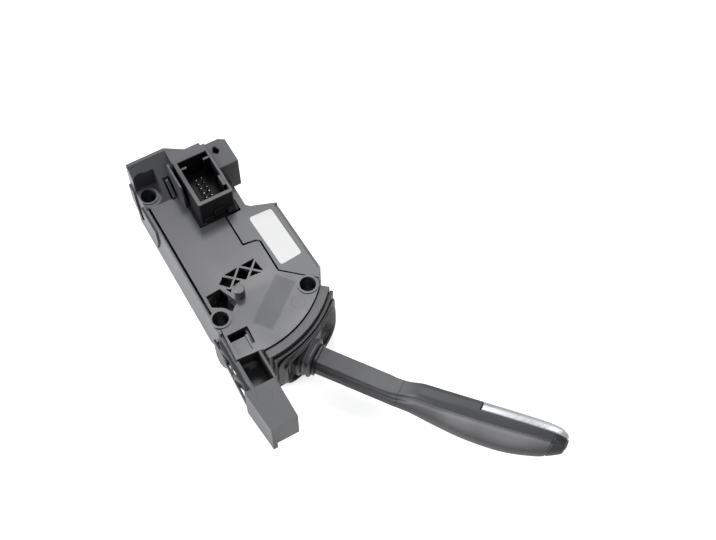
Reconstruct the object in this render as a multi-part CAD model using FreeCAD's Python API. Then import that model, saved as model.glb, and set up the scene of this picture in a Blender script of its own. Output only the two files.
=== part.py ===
import FreeCAD, Part
import math
import os

# A steering column gear selector lever with its switch module.
# Plan frame: the origin is the foot of the pivot boss on the outer face of the rear cover.
# Z points out of the cover, along the swing axis. Y runs along the module towards the connector.
# X runs across it towards the label side. The lever leaves towards +X and -Y. Millimetres.

V = FreeCAD.Vector

# Module housing
housing_depth = 29.0
wall = 2.0
floor_thickness = 2.0
cover_thickness = 2.2
cover_gap = 0.8
rebate_gap = 0.35
rim_drop = 0.3
corner_radius = 1.2
side_pad = 1.0
left_x = -15.9
left_rim = 0.8
left_groove = 1.1
groove_depth = 4.6
right_x = 22.3
back_y = 73.9
front_arc_centre = (-2.6, 17.4)
front_arc_radius = 44.8
front_angles = (-90.6, -40.6)
toe_y = -11.8
toe_chamfer_y = 13.0
toe_chamfer_z = 12.0
label_side_x = 35.6
label_top_y = 33.0
label_bottom_y = -2.4
label_chamfer = 1.5

# Screw points: head recess, clearance bore and steel sleeve
screw_edge = 5.1
side_screw_angle = math.radians(-42.4)
side_screw_r = front_arc_radius - screw_edge
side_screw = (
    front_arc_centre[0] + side_screw_r * math.cos(side_screw_angle),
    front_arc_centre[1] + side_screw_r * math.sin(side_screw_angle),
)
screw_points = [(-12.0, 63.0), (-12.1, -6.0), side_screw]
screw_head_r = 3.5
screw_bore_r = 2.2
sleeve_r = 3.0
sleeve_length = 12.0
screw_boss_r = 5.0
collar_r = 4.4
collar_height = 0.5

# Pivot
pivot_boss_r = 2.2
pivot_boss_height = 5.5
pivot_pin_r = 2.0
pivot_seat_r = 4.2
floor_seat_height = 3.0
cover_seat_height = 4.6
running_gap = 0.04
side_gap = 0.3
bush_wall = 1.2
bush_length = 5.0

# Raised back end and connector
ramp_start_y = 57.0
pit_x = (-14.9, -5.9)
pit_y = (63.0, 68.6)
well_r = 6.1
finger_slot_x = (-4.0, -0.9)
finger_slot_y = (56.2, 64.5)
finger_top = 5.0
hood_top = 13.0
hood_wall = 1.8
hood_left_x = 18.2
hood_right_x = 27.1
hood_front_y = 52.2
hood_back_y = 66.8
hood_bottom = -5.0
hood_chamfer = 2.8
shroud_x = (1.7, 17.9)
shroud_y = (38.9, 64.0)
shroud_top = 14.0
shroud_wall = 1.6
shroud_floor = 1.6
shroud_skirt = 1.3
key_rib = 1.0
key_reach = 2.8
pin_pitch = 2.54
pin_columns = 5
pin_rows = 2
pin_width = 0.64
pin_tip_z = 5.0
pin_first = (8.53, 47.0)

# Circuit board
board_top = -4.8
board_thickness = 1.6
board_screw_r = 1.1
board_post = 4.2

# Front frame, boot retainer and boot
frame_gap = 0.15
front_frame_depth = 3.6
front_frame_top = -1.0
retainer_gap = 0.3
retainer_depth = 1.3
retainer_top = -3.2
front_bottom = -28.0
retainer_angles = (-88.6, -41.2)
swing_spare_deg = 0.6
slot_clearance = 0.9
boot_wall = 1.5
boot_heading = -58.0
boot_side_angle = -66.0
boot_sink = 6.0
boot_margin = 1.4
boot_corner = 0.55
boot_end_s = -2.0
boot_grip_gap = 0.1

# Lever: s runs along the stem from the boot ring, t across it, z as the module
swing_deg = 8.0
arm_width = 8.4
lever_angle = -54.5
ring_reach = 12.955
ring_angle = -70.373
lever_mid_z = -13.5
stem_t = (-4.4, 5.2)
stem_half_height = 4.0
stem_edge_r = 1.0
stem_start = -12.5
seam_s = -1.0
collar_width = 0.8
collar_lip = 1.2
elbow_s = 36.0
tip_s = 106.6
hollow_inset = 2.6
hollow_s = (42.0, 95.0)
handle_count = 13
handle_softness = (0.38, 0.38, 0.26, 0.14, 0.34)
face_share = 0.42
parting_drop = 1.6
core_half_width = 2.4
core_half_height = 2.0
core_end = 62.0

# Handle stations: s, upper edge, face edge, lower edge, top and bottom
handle_stations = [
    (36.0, 5.2, -3.8, -4.4, -9.3, -17.8),
    (42.0, 6.1, -1.6, -4.4, -7.0, -19.0),
    (52.0, 7.3, -0.2, -4.8, -6.1, -20.3),
    (66.0, 8.8, 1.8, -5.3, -6.0, -21.0),
    (82.0, 10.6, 4.0, -4.3, -6.3, -21.0),
    (95.0, 11.9, 6.0, -1.4, -7.0, -20.0),
    (101.5, 12.1, 6.9, 1.6, -8.0, -18.6),
    (105.0, 11.2, 7.3, 4.4, -9.6, -17.0),
]
tip_station = (tip_s, 9.6, 7.6, 6.4, -11.6, -15.0)

# Silver strip, park button and its switch
strip_start = (69.0, 4.2)
strip_end = (99.0, 7.9)
strip_depth = 0.9
strip_skirt = 4.0
button_travel = 1.5
button_gap = 0.15
button_t = (5.2, 9.8)
button_z = (-16.6, -10.4)
button_corner = 1.2
switch_s = (83.0, 91.4)
spring_solid = 1.1
button_inner_s = switch_s[1] + spring_solid + button_travel
bezel_end_s = 105.4

# End bracket and its side truss
lip_inset = 1.0
lip_y = front_arc_centre[1] - front_arc_radius + lip_inset
bracket_back = (-18.8, lip_y - 13.6)
bracket_front = (-17.1, lip_y - 33.2)
bracket_right = -5.0
bracket_depth = 15.0
bracket_leg = 4.5
bracket_wall = 2.0
web_thickness = 1.0
web_left_x = -14.9
web_right_x = -4.9
truss_back_x = -18.2
truss_front_x = -17.0
truss_front_y = toe_y - 2.2
truss_rail = 3.0
truss_rib = 0.9
truss_bays = 4
pocket_x = (-13.4, -4.1)
pocket_step = 0.9
skirt_x = (-13.9, -4.9)
skirt_depth = 9.0


def box(x, y, z):
    """A block between two values on each axis."""
    return Part.makeBox(x[1] - x[0], y[1] - y[0], z[1] - z[0], V(x[0], y[0], z[0]))


def cylinder(centre, radius, z0, z1):
    """An upright cylinder."""
    return Part.makeCylinder(radius, z1 - z0, V(centre[0], centre[1], z0))


def tube(centre, inner, outer, z0, z1):
    """An upright tube."""
    return cylinder(centre, outer, z0, z1).cut(cylinder(centre, inner, z0 - 1, z1 + 1))


def rounded_wire(points, radius, z=0.0, arcs=None):
    """A closed plan outline with its corners rounded, apart from the ends of its arcs."""
    arcs = arcs or {}
    count = len(points)
    radii = [0.0 if i in arcs or (i - 1) % count in arcs else radius for i in range(count)]
    middles = {i: V(p[0], p[1], z) for i, p in arcs.items()}
    return rounded_loop([V(p[0], p[1], z) for p in points], radii, middles)


def rounded_loop(corners, radii, arcs=None):
    """A closed flat outline, each corner rounded by its radius or by what its sides allow.

    A side listed in arcs bends through the point given there."""
    count = len(corners)
    arcs = arcs or {}
    edges = []
    starts = []
    for i in range(count):
        before, here, after = corners[i - 1], corners[i], corners[(i + 1) % count]
        into = (before - here).normalize()
        out = (after - here).normalize()
        turn = math.pi - into.getAngle(out)
        shortest = min((before - here).Length, (after - here).Length)
        back = min(radii[i] * math.tan(turn / 2), 0.45 * shortest)
        if back < 1e-3:
            starts.append((here, here, here))
            continue
        first = here + into * back
        last = here + out * back
        middle = here + (into + out).normalize() * arc_sink(back, turn)
        starts.append((first, middle, last))
    for i in range(count):
        first, middle, last = starts[i]
        if first.distanceToPoint(last) > 1e-6:
            edges.append(Part.Arc(first, middle, last).toShape())
        following = starts[(i + 1) % count][0]
        if i in arcs:
            edges.append(Part.Arc(last, arcs[i], following).toShape())
        elif last.distanceToPoint(following) > 1e-6:
            edges.append(Part.makeLine(last, following))
    return Part.Wire(edges)


def arc_sink(back, turn):
    """How far the middle of a corner arc lies from the corner itself."""
    radius = back / math.tan(turn / 2)
    return radius / math.cos(turn / 2) - radius


def prism(points, z0, z1, radius=0.0, arcs=None):
    """A plan outline raised between two heights."""
    wire = rounded_wire(points, radius, z0, arcs)
    return Part.Face(wire).extrude(V(0, 0, z1 - z0))


def side_prism(points, x0, x1):
    """A (y, z) outline drawn across from x0 to x1."""
    corners = [V(x0, y, z) for y, z in points]
    face = Part.Face(Part.makePolygon(corners + corners[:1]))
    return face.extrude(V(x1 - x0, 0, 0))


def rectangle(x, y):
    """The four plan corners of a rectangle."""
    return [(x[0], y[0]), (x[1], y[0]), (x[1], y[1]), (x[0], y[1])]


def polar(centre, radius, degrees):
    """The plan point at a radius and an angle about a centre."""
    angle = math.radians(degrees)
    return (centre[0] + radius * math.cos(angle), centre[1] + radius * math.sin(angle))


def arc_band(centre, inner, outer, angles, z0, z1):
    """A curved wall between two radii and two angles."""
    a0, a1 = angles
    mid = (a0 + a1) / 2

    def at(radius, degrees):
        x, y = polar(centre, radius, degrees)
        return V(x, y, z0)

    edges = [
        Part.Arc(at(outer, a0), at(outer, mid), at(outer, a1)).toShape(),
        Part.makeLine(at(outer, a1), at(inner, a1)),
        Part.Arc(at(inner, a1), at(inner, mid), at(inner, a0)).toShape(),
        Part.makeLine(at(inner, a0), at(outer, a0)),
    ]
    return Part.Face(Part.Wire(edges)).extrude(V(0, 0, z1 - z0))


def bar(start, end, width, z0, z1):
    """A straight rib between two plan points."""
    a = V(start[0], start[1], 0)
    b = V(end[0], end[1], 0)
    along = (b - a).normalize()
    across = V(-along.y, along.x, 0) * (width / 2)
    corners = [a - across, b - across, b + across, a + across]
    return prism([(p.x, p.y) for p in corners], z0, z1)


def joined(shapes):
    """One solid from touching or overlapping ones."""
    first = shapes[0]
    return first.fuse(shapes[1:]).removeSplitter() if len(shapes) > 1 else first


def without(shape, tools):
    """The shape with every tool cut away."""
    return shape.cut(Part.makeCompound(tools)) if tools else shape


def lever_place(shape):
    """Turn a shape drawn in the lever's s, t, z into the module's frame."""
    placed = shape.copy()
    placed.rotate(V(0, 0, 0), V(0, 0, 1), lever_angle)
    placed.translate(V(ring_centre[0], ring_centre[1], 0))
    return placed


def lever_point(s, t=0.0):
    """The plan point at s along the lever and t across it."""
    angle = math.radians(lever_angle)
    x = ring_centre[0] + s * math.cos(angle) - t * math.sin(angle)
    y = ring_centre[1] + s * math.sin(angle) + t * math.cos(angle)
    return (x, y)


ring_centre = polar(front_arc_centre, front_arc_radius + ring_reach, ring_angle)
arm_elbow = lever_point(stem_start)
front_outer_r = front_arc_radius + frame_gap + front_frame_depth
retainer_inner_r = front_outer_r + retainer_gap
retainer_outer_r = retainer_inner_r + retainer_depth
slot_z = (
    lever_mid_z - stem_half_height - slot_clearance,
    lever_mid_z + stem_half_height + slot_clearance,
)
board_bottom = board_top - board_thickness


def front_points(start, end, inset=0.0):
    """The start, middle and end of the curved front edge between two angles."""
    radius = front_arc_radius - inset
    return [polar(front_arc_centre, radius, angle) for angle in (start, (start + end) / 2, end)]


def tray_outline():
    """The plan outline of the module housing, anticlockwise from the back left corner."""
    start, middle, end = front_points(*front_angles)
    points = [
        (left_x, back_y),
        (left_x, toe_y),
        (start[0], toe_y),
        start,
        end,
        (35.3, -4.6),
        (label_side_x, label_bottom_y),
        (34.5, label_top_y),
        (23.8, 37.0),
        (right_x, 38.5),
        (right_x, hood_back_y),
        (16.4, 68.9),
        (9.5, 68.9),
        (1.9, back_y),
    ]
    return points, {points.index(start): middle}


def deck_outline():
    """The fixed part of the outer face that carries the label."""
    return [
        (12.6, 37.4),
        (12.6, 21.6),
        (18.0, 20.8),
        (19.75, 19.3),
        (19.75, 2.9),
        (32.3, -8.5),
        (35.3, -4.6),
        (label_side_x, label_bottom_y),
        (34.5, label_top_y),
        (23.8, 37.0),
        (right_x, 38.5),
        (right_x, hood_front_y),
        (shroud_x[1] + shroud_skirt + 0.2, hood_front_y),
        (shroud_x[1] + shroud_skirt + 0.2, 37.4),
    ]


def cover_outline():
    """The rear cover, a gap inside the housing rim and the label deck."""
    gap = cover_gap
    left = left_x + left_rim + left_groove
    start, middle, end = front_points(front_angles[0] + 0.6, front_angles[1] - 0.8, rebate_gap)
    points = [
        (left, ramp_start_y + 1.0),
        (left, toe_y + 1.3),
        (web_left_x, lip_y + 0.8),
        (-4.3, lip_y),
        start,
        end,
        (31.9, -8.9),
        (19.75 - gap, 2.7),
        (19.75 - gap, 19.1),
        (17.8, 20.8 - gap),
        (12.6 - gap, 21.6 - gap),
        (12.6 - gap, 37.4),
        (shroud_x[1] + shroud_skirt, 37.4),
        (shroud_x[1] + shroud_skirt, ramp_start_y + 1.0),
    ]
    return points, {points.index(start): middle}


def moved_outline(outline, radius, z, distance):
    """The face inside an outline of points and arcs, grown or shrunk by a distance."""
    points, arcs = outline
    return Part.Face(rounded_wire(points, radius, z, arcs)).makeOffset2D(distance)


def screw_cuts(z0, z1, radius):
    """Holes at the three screw points."""
    return [cylinder(p, radius, z0, z1) for p in screw_points]


def make_main_housing():
    """The deep tray: walls, floor, label deck, screw columns, pivot seat and board posts."""
    points, arcs = tray_outline()
    outer = prism(points, -housing_depth, -rim_drop, corner_radius, arcs)
    hollow = moved_outline(tray_outline(), 0.0, -housing_depth + floor_thickness, -wall)
    tray = outer.cut(hollow.extrude(V(0, 0, housing_depth)))
    deck = prism(deck_outline(), -cover_thickness, 0.0)
    columns = [cylinder(p, screw_boss_r, -housing_depth, -cover_thickness) for p in screw_points]
    keep = prism(points, -housing_depth, 0, corner_radius, arcs)
    columns = [c.common(keep) for c in columns]
    seat = cylinder((0, 0), pivot_seat_r, -housing_depth, -housing_depth + floor_thickness + floor_seat_height)
    half = board_post / 2
    posts = [
        box((x - half, x + half), (y - half, y + half), (-housing_depth + 0.5, board_bottom))
        for x, y in board_posts()
    ]
    body = joined([tray, deck, seat] + columns + posts + side_pads())
    toe = side_prism(
        [
            (toe_y - 1, -housing_depth - 1),
            (toe_y + toe_chamfer_y, -housing_depth - 1),
            (toe_y + toe_chamfer_y, -housing_depth),
            (toe_y, -housing_depth + toe_chamfer_z),
            (toe_y - 1, -housing_depth + toe_chamfer_z),
        ],
        left_x - 1,
        -9.0,
    )
    cuts = screw_cuts(-housing_depth - 1, 0, sleeve_r)
    cuts += screw_cuts(-housing_depth + sleeve_length, 1, screw_head_r)
    cuts += [cylinder(p, board_screw_r, board_bottom - 8, board_bottom + 1) for p in board_posts()]
    cuts.append(cylinder((0, 0), pivot_pin_r, -housing_depth + 0.8, 0))
    cuts.append(swing_slot(front_outer_r))
    cuts.append(label_edge_cut())
    cuts.append(shroud_hole())
    rebate = moved_outline(cover_outline(), 0.0, -cover_thickness, rebate_gap)
    cuts.append(rebate.extrude(V(0, 0, cover_thickness + 1)))
    groove_x = (left_x + left_rim, left_x + wall + 0.1)
    groove_y = (screw_points[1][1] + collar_r - 0.6, screw_points[0][1] - collar_r - 1.2)
    cuts.append(box(groove_x, groove_y, (-groove_depth, 1)))
    cuts += screw_cuts(-cover_thickness, 1, collar_r)
    body = without(body, cuts)
    return body.cut(toe.cut(cylinder(screw_points[1], screw_boss_r, -housing_depth - 1, 0)))


def side_pads():
    """The two raised pads on the left wall: the tongue at the back and the pad before it."""
    x = (left_x - side_pad, left_x + 0.2)
    tongue = [(73.5, -0.5), (73.0, -10.0), (65.6, -18.4), (64.4, -17.6), (67.6, -9.0), (68.4, -0.5)]
    pad = [(62.0, -4.0), (60.0, -13.0), (52.6, -22.0), (50.6, -21.4), (47.0, -12.0), (47.0, -4.0)]
    return [side_prism(tongue, *x), side_prism(pad, *x)]


def label_edge_cut():
    """The slope along the outer edge of the label deck."""
    top = 0.5
    size = label_chamfer
    section = [
        V(label_side_x + 1, 0, -size * 2),
        V(label_side_x + 1, 0, top),
        V(34.5 - size, 0, top),
        V(34.5 - size, 0, 0),
        V(34.5 + 1.0, 0, -size * 1.6),
    ]
    shift = V(label_side_x - 34.5, 0, 0)
    low = [p + shift + V(0, -4.0, 0) for p in section]
    high = [p + V(0, label_top_y - 0.5, 0) for p in section]
    wires = [Part.makePolygon(low + low[:1]), Part.makePolygon(high + high[:1])]
    return Part.makeLoft(wires, True, True)


def board_posts():
    """Where the circuit board is screwed down."""
    return [(-10.8, 25.0), (16.0, 34.6)]


def swing_slot(reach):
    """The space that the arm sweeps on its way out through the front walls."""
    spare = swing_deg + swing_spare_deg
    middle = math.degrees(math.atan2(arm_elbow[1], arm_elbow[0]))
    shapes = [arc_band((0, 0), 1.0, reach, (middle - spare, middle + spare), *slot_z)]
    for angle in (middle - spare, middle + spare):
        shapes.append(bar((0, 0), polar((0, 0), reach, angle), arm_width + 2 * slot_clearance, *slot_z))
    sides = (stem_t[0] - slot_clearance, stem_t[1] + slot_clearance)
    stem_room = lever_place(box((stem_start, stem_start + 12), sides, slot_z))
    for turn in (-spare, 0, spare):
        shapes.append(stem_room.rotated(V(0, 0, 0), V(0, 0, 1), turn))
    return joined(shapes)


def shroud_hole():
    """Room for the connector body through the outer face."""
    gap = 0.2
    x = (shroud_x[0] - shroud_skirt - gap, shroud_x[1] + shroud_skirt + gap)
    y = (shroud_y[0] - shroud_skirt - gap, shroud_y[1] + gap)
    return box(x, y, (board_top, hood_top + 5))


def ramp_shell():
    """The rising back end as a shell: sloped top, side, back and the part behind the connector."""
    x0 = left_x
    skin = hood_wall
    outline = [
        (x0, ramp_start_y),
        (hood_left_x, ramp_start_y),
        (hood_left_x, hood_back_y + 0.6),
        (16.4, hood_back_y + 0.6),
        (16.4, 68.9),
        (9.5, 68.9),
        (1.9, back_y),
        (x0, back_y),
    ]
    block = prism(outline, -rim_drop, hood_top)
    sky = side_prism(
        [
            (ramp_start_y - 5, 0),
            (ramp_start_y, 0),
            (back_y - 1.6, hood_top - 0.2),
            (back_y - 1.6, hood_top + 9),
            (ramp_start_y - 5, hood_top + 9),
        ],
        x0 - 1,
        shroud_x[0] + 0.01,
    )
    sky_right = box((shroud_x[0], 30), (ramp_start_y - 1, shroud_y[1] - shroud_wall), (0, hood_top + 9))
    solid = block.cut(sky).cut(sky_right)
    inside = side_prism(
        [
            (ramp_start_y - 5, -5),
            (ramp_start_y + skin, -5),
            (ramp_start_y + skin, -cover_thickness + 0.6),
            (back_y - 2 * skin, hood_top - 2.2 * skin),
            (back_y - 2 * skin, -5),
        ],
        pit_x[1] + skin,
        shroud_x[0] - skin,
    )
    return solid.cut(inside)


def window_cuts():
    """The two lattice openings beside the pivot, with the crossing ribs left standing."""
    z = (-cover_thickness - 1, 1)
    frame = [
        (-1.7, 4.9), (-5.3, 8.9), (-2.0, 11.9), (5.9, 12.6), (12.9, 13.0),
        (13.8, 6.2), (12.7, 5.4), (7.8, 6.0), (6.4, 5.2), (3.9, 6.1),
    ]
    ribs = [
        ((13.9, 12.9), (5.6, 4.8)),
        ((5.2, 13.2), (13.9, 4.9)),
        ((6.2, 13.2), (-2.8, 3.9)),
        ((-3.4, 13.1), (4.8, 5.4)),
    ]
    opening = prism(frame, *z)
    lattice = without(opening, [bar(a, b, truss_rib, z[0] - 1, z[1] + 1) for a, b in ribs])
    corner = prism([(-4.0, 5.7), (-1.7, 4.3), (-2.8, 3.1)], *z)
    pentagon = prism([(-12.6, 6.4), (-5.9, 6.9), (-2.5, -1.9), (-6.2, -5.2), (-9.3, -1.4), (-12.8, 0.6)], *z)
    pentagon = pentagon.cut(cylinder(screw_points[1], collar_r + 0.9, *z))
    return [lattice, corner, pentagon]


def toe_pocket_cuts():
    """The stepped pocket and the snap slot at the bracket end of the cover."""
    through = (-cover_thickness - 1, 1)
    deep = box((pocket_x[0], pocket_x[1]), (lip_y + 9.1, lip_y + 12.4), through)
    slot_y = (lip_y + 4.2, lip_y + 10.4)
    slot_x = (pocket_x[1] - 1.9, pocket_x[1] - 0.5)
    slot_corners = [
        (slot_x[0], slot_y[0]),
        (slot_x[1], slot_y[0]),
        (pocket_x[1], slot_y[1]),
        (slot_x[0] + 0.4, slot_y[1]),
    ]
    slot = prism(slot_corners, *through)
    step = box((pocket_x[0], pocket_x[1] - 2.7), (lip_y + 1.8, lip_y + 9.4), (-pocket_step, 1))
    return [deep, slot, step]


def make_rear_cover():
    """The flat cover with its windows, collars, pivot boss, back ramp, rails and pocket."""
    points, arcs = cover_outline()
    plate = prism(points, -cover_thickness, 0.0, 0.0, arcs)
    collars = [cylinder(p, collar_r, -cover_thickness, collar_height) for p in screw_points]
    boss = cylinder((0, 0), pivot_boss_r, -cover_thickness, pivot_boss_height)
    boss = boss.makeChamfer(0.3, [boss.Edges[0]])
    seat = cylinder((0, 0), pivot_seat_r, -cover_thickness - cover_seat_height, -cover_thickness)
    guide = side_prism(
        [(49.6, 0), (50.2, 8.0), (52.5, 12.0), (66.0, 12.0), (66.0, 0)],
        -0.6,
        0.5,
    )
    back = ramp_shell()
    skirt = box(skirt_x, (lip_y + 1.2, lip_y + 2.4), (-skirt_depth, -cover_thickness))
    inside_left = left_x + wall + rebate_gap
    floor_y = (ramp_start_y, back_y - wall - rebate_gap)
    floor = box((inside_left, pit_x[1] + hood_wall), floor_y, (-cover_thickness, 0))
    body = joined([plate, boss, seat, back, floor, guide, skirt] + collars)
    pit = box(pit_x, pit_y, (0, hood_top + 5)).fuse(cylinder(screw_points[0], well_r, 0, hood_top + 5))
    cuts = window_cuts() + toe_pocket_cuts() + [finger_cut()]
    cuts.append(pit.cut(cylinder(screw_points[0], collar_r, -cover_thickness, collar_height)))
    cuts.append(box((left_x - 3, left_x), (ramp_start_y, back_y), (-cover_thickness - 1, 1)))
    cuts += screw_cuts(-cover_thickness - 9, 30, screw_head_r)
    cuts.append(shroud_hole())
    cuts.append(cylinder((0, 0), pivot_pin_r, -cover_thickness - cover_seat_height - 1, -0.9))
    return without(body, cuts)


def finger_cut():
    """The slot in the ramp that frees the finger standing in it."""
    slot = box(finger_slot_x, finger_slot_y, (-1.0, hood_top + 5))
    x = (finger_slot_x[0] + side_gap + 0.5, finger_slot_x[1] - side_gap - 0.6)
    return slot.cut(box(x, (finger_slot_y[0] + 0.8, finger_slot_y[1] + 1), (-1.5, finger_top)))


def make_connector_hood():
    """The hollow block beside the connector, open underneath, with its small window."""
    outline = [
        (hood_left_x, hood_front_y),
        (hood_right_x, hood_front_y),
        (hood_right_x, hood_back_y - 1.8),
        (hood_right_x - hood_chamfer, hood_back_y),
        (hood_left_x, hood_back_y),
    ]
    block = prism(outline, hood_bottom, hood_top)
    inside_x = (right_x + 0.6, hood_right_x - hood_wall)
    inside_y = (hood_front_y + hood_wall, hood_back_y - 2 * hood_wall)
    inside = box(inside_x, inside_y, (hood_bottom - 1, hood_top - hood_wall))
    under_y = (hood_front_y - 1, hood_back_y + 1)
    over = box((hood_left_x + 1.0, right_x + 0.1), under_y, (hood_bottom - 1, 0.05))
    behind = box((hood_left_x - 1, hood_left_x + 1.01), under_y, (hood_bottom - 1, 0.05))
    arrow = prism([(19.4, 61.2), (21.0, 59.6), (22.6, 61.2), (21.6, 63.6), (20.4, 63.6)], hood_top - 8.0, 20)
    return without(block, [inside, over, behind, arrow])


def make_connector_shroud():
    """The socket: four walls, floor, coding ribs, foot skirt, latch ramp and front clip."""
    x, y = shroud_x, shroud_y
    bottom = board_top
    outer = prism(rectangle(x, y), bottom, shroud_top, 1.0)
    cavity = prism(
        rectangle((x[0] + shroud_wall, x[1] - shroud_wall + 0.6), (y[0] + shroud_wall, y[1] - shroud_wall + 0.6)),
        shroud_floor,
        shroud_top + 1,
    )
    skirt = prism(
        rectangle((x[0] - shroud_skirt, x[1] + shroud_skirt), (y[0] - shroud_skirt, y[1] - 1.0)),
        -1.6,
        0.4,
        1.6,
    )
    skirt = skirt.cut(box((x[1] + 0.1, 40), (hood_front_y - side_gap, 80), (-5, 5)))
    body = outer.fuse(skirt).cut(cavity)
    key_z = (shroud_floor - 0.2, shroud_top - 0.4)
    inner_left = x[0] + shroud_wall
    inner_right = x[1] - shroud_wall + 0.6
    rib_y = (59.0, 59.0 + key_rib)
    ribs = [
        box((inner_left - 0.2, inner_left + key_reach), rib_y, key_z),
        box((inner_right - key_reach, inner_right + 0.2), (rib_y[0] + 0.3, rib_y[1] + 0.3), key_z),
        box((inner_right - 1.3, inner_right + 0.2), (43.6, 49.0), key_z),
        box((inner_left - 0.2, inner_left + 1.2), (41.6, 46.4), (shroud_floor - 0.2, 7.0)),
    ]
    clip = box((8.2, 12.6), (y[0] - 0.8, y[0]), (2.0, 6.4))
    step = box((3.4, 7.6), (y[0] - 0.9, y[0]), (0.4, 3.0))
    lug = side_prism([(y[0] - 1.4, -1.6), (y[0] - 1.4, 1.6), (y[0], 3.2), (y[0], -1.6)], 14.2, 17.6)
    body = joined([body] + ribs + [clip, step, lug])
    cuts = []
    for pin_x, pin_y in pin_places():
        half = pin_width / 2
        cuts.append(box((pin_x - half, pin_x + half), (pin_y - half, pin_y + half), (bottom - 1, shroud_floor + 1)))
    return without(body, cuts)


def pin_places():
    """The plan centre of every connector pin."""
    x0, y0 = pin_first
    grid = [(row, column) for row in range(pin_rows) for column in range(pin_columns)]
    return [(x0 + pin_pitch * row, y0 + pin_pitch * column) for row, column in grid]


def make_connector_pins():
    """Square pins through the socket floor and the board, with pointed tips."""
    pins = []
    half = pin_width / 2
    for x, y in pin_places():
        stations = [(board_bottom - 1.2, half), (pin_tip_z - 0.6, half), (pin_tip_z, half * 0.3)]
        squares = [[V(px, py, z) for px, py in rectangle((x - h, x + h), (y - h, y + h))] for z, h in stations]
        pins.append(faceted_solid(squares))
    return Part.makeCompound(pins)


def make_circuit_board():
    """The board under the cover, cut away round the screw columns and the mechanism."""
    outline = [
        (-13.4, 54.0), (-13.4, 17.5), (12.0, 17.5), (19.0, 22.5), (19.0, 65.0),
        (-4.0, 65.0), (-4.0, 71.0), (-6.2, 71.0), (-6.2, 56.6), (-8.8, 54.0),
    ]
    board = prism(outline, board_bottom, board_top)
    cuts = [cylinder(p, board_screw_r + 0.2, -20, 0) for p in board_posts()]
    half = pin_width / 2
    for x, y in pin_places():
        cuts.append(box((x - half, x + half), (y - half, y + half), (-20, 0)))
    return without(board, cuts)


def make_board_screws():
    """The pan head screws that hold the board on its posts."""
    screws = []
    for p in board_posts():
        shank = cylinder(p, board_screw_r, board_bottom - 6.0, board_top)
        head = cylinder(p, 2.1, board_top, board_top + 1.3)
        screws.append(shank.fuse(head))
    return Part.makeCompound(screws)


magnet_y = 21.5
magnet_size = (6.0, 4.0, 2.4)
sensor_size = (4.4, 3.8, 0.9)
sensor_gap = 0.6
tail_top = board_bottom - sensor_size[2] - sensor_gap - 0.2


def make_hall_sensor():
    """Two sensor chips under the board, above the path of the magnet."""
    chips = []
    for x in (-3.4, 3.4):
        half_x, half_y = sensor_size[0] / 2, sensor_size[1] / 2
        z = (board_bottom - sensor_size[2], board_bottom)
        chips.append(box((x - half_x, x + half_x), (magnet_y - half_y, magnet_y + half_y), z))
    return Part.makeCompound(chips)


def make_board_parts():
    """The controller chip, two filter coils and a row of small capacitors below the board."""
    top = board_bottom
    blocks = [
        box((-9.5, -1.5), (36.6, 44.6), (top - 1.6, top)),
        box((-10.5, -6.5), (30.0, 34.0), (top - 3.0, top)),
        box((-4.0, 0.0), (30.0, 34.0), (top - 3.0, top)),
    ]
    for i in range(3):
        x = 2.5 + 3.0 * i
        blocks.append(box((x, x + 1.8), (29.0, 30.6), (top - 1.0, top)))
    return Part.makeCompound(blocks)


def make_lead_socket():
    """The small board socket where the park button's lead plugs in."""
    socket = box((12.4, 17.2), (24.5, 31.0), (board_bottom - 4.4, board_bottom))
    return socket.cut(box((13.2, 16.4), (23.0, 30.0), (board_bottom - 3.8, board_bottom - 1.2)))


def make_screw_sleeves():
    """Steel sleeves that take the clamp load of the three fastening screws."""
    z = (-housing_depth, -housing_depth + sleeve_length - 0.4)
    return Part.makeCompound([tube(p, screw_bore_r, sleeve_r, *z) for p in screw_points])


def make_front_frame():
    """The curved band along the front of the module, with the swing slot."""
    band = arc_band(
        front_arc_centre,
        front_arc_radius,
        front_outer_r,
        front_angles,
        -housing_depth + 0.6,
        front_frame_top,
    )
    return band.cut(swing_slot(front_outer_r))


def make_boot_retainer():
    """The thin curved frame that clamps the boot's edge."""
    band = arc_band(
        front_arc_centre,
        front_outer_r,
        retainer_outer_r,
        retainer_angles,
        front_bottom,
        retainer_top,
    )
    relief = arc_band(
        front_arc_centre,
        front_outer_r - 1,
        retainer_inner_r,
        (retainer_angles[0] - 1, retainer_angles[1] + 1),
        retainer_top - 1.6,
        retainer_top + 1,
    )
    opening = arc_band(
        front_arc_centre,
        front_outer_r - 1,
        retainer_outer_r + 1,
        (retainer_angles[0] + 2.2, retainer_angles[1] - 2.2),
        front_bottom + 3.2,
        retainer_top - 3.2,
    )
    return without(band, [relief, opening])


def soft_polygon(corners, radii, steps):
    """The points of an outline whose corners are softened by a few short chords."""
    points = []
    count = len(corners)
    for i in range(count):
        before, here, after = corners[i - 1], corners[i], corners[(i + 1) % count]
        back = min(radii[i], 0.45 * min((before - here).Length, (after - here).Length))
        first = here + (before - here).normalize() * back
        last = here + (after - here).normalize() * back
        for k in range(steps + 1):
            u = k / steps
            points.append(first * (1 - u) ** 2 + here * 2 * u * (1 - u) + last * u ** 2)
    return points


def faceted_solid(sections):
    """A closed solid of flat facets through sections with equally many points."""
    faces = []
    count = len(sections[0])
    for near, far in zip(sections, sections[1:]):
        for i in range(count):
            j = (i + 1) % count
            for ring in ((near[i], near[j], far[j]), (near[i], far[j], far[i])):
                faces.append(Part.Face(Part.makePolygon([*ring, ring[0]])))
    for end in (sections[0], sections[-1]):
        faces.append(Part.Face(Part.makePolygon([*end, end[0]])))
    shell = Part.makeShell(faces)
    shell.sewShape()
    solid = Part.Solid(shell)
    return solid if solid.Volume > 0 else solid.reversed()


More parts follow.
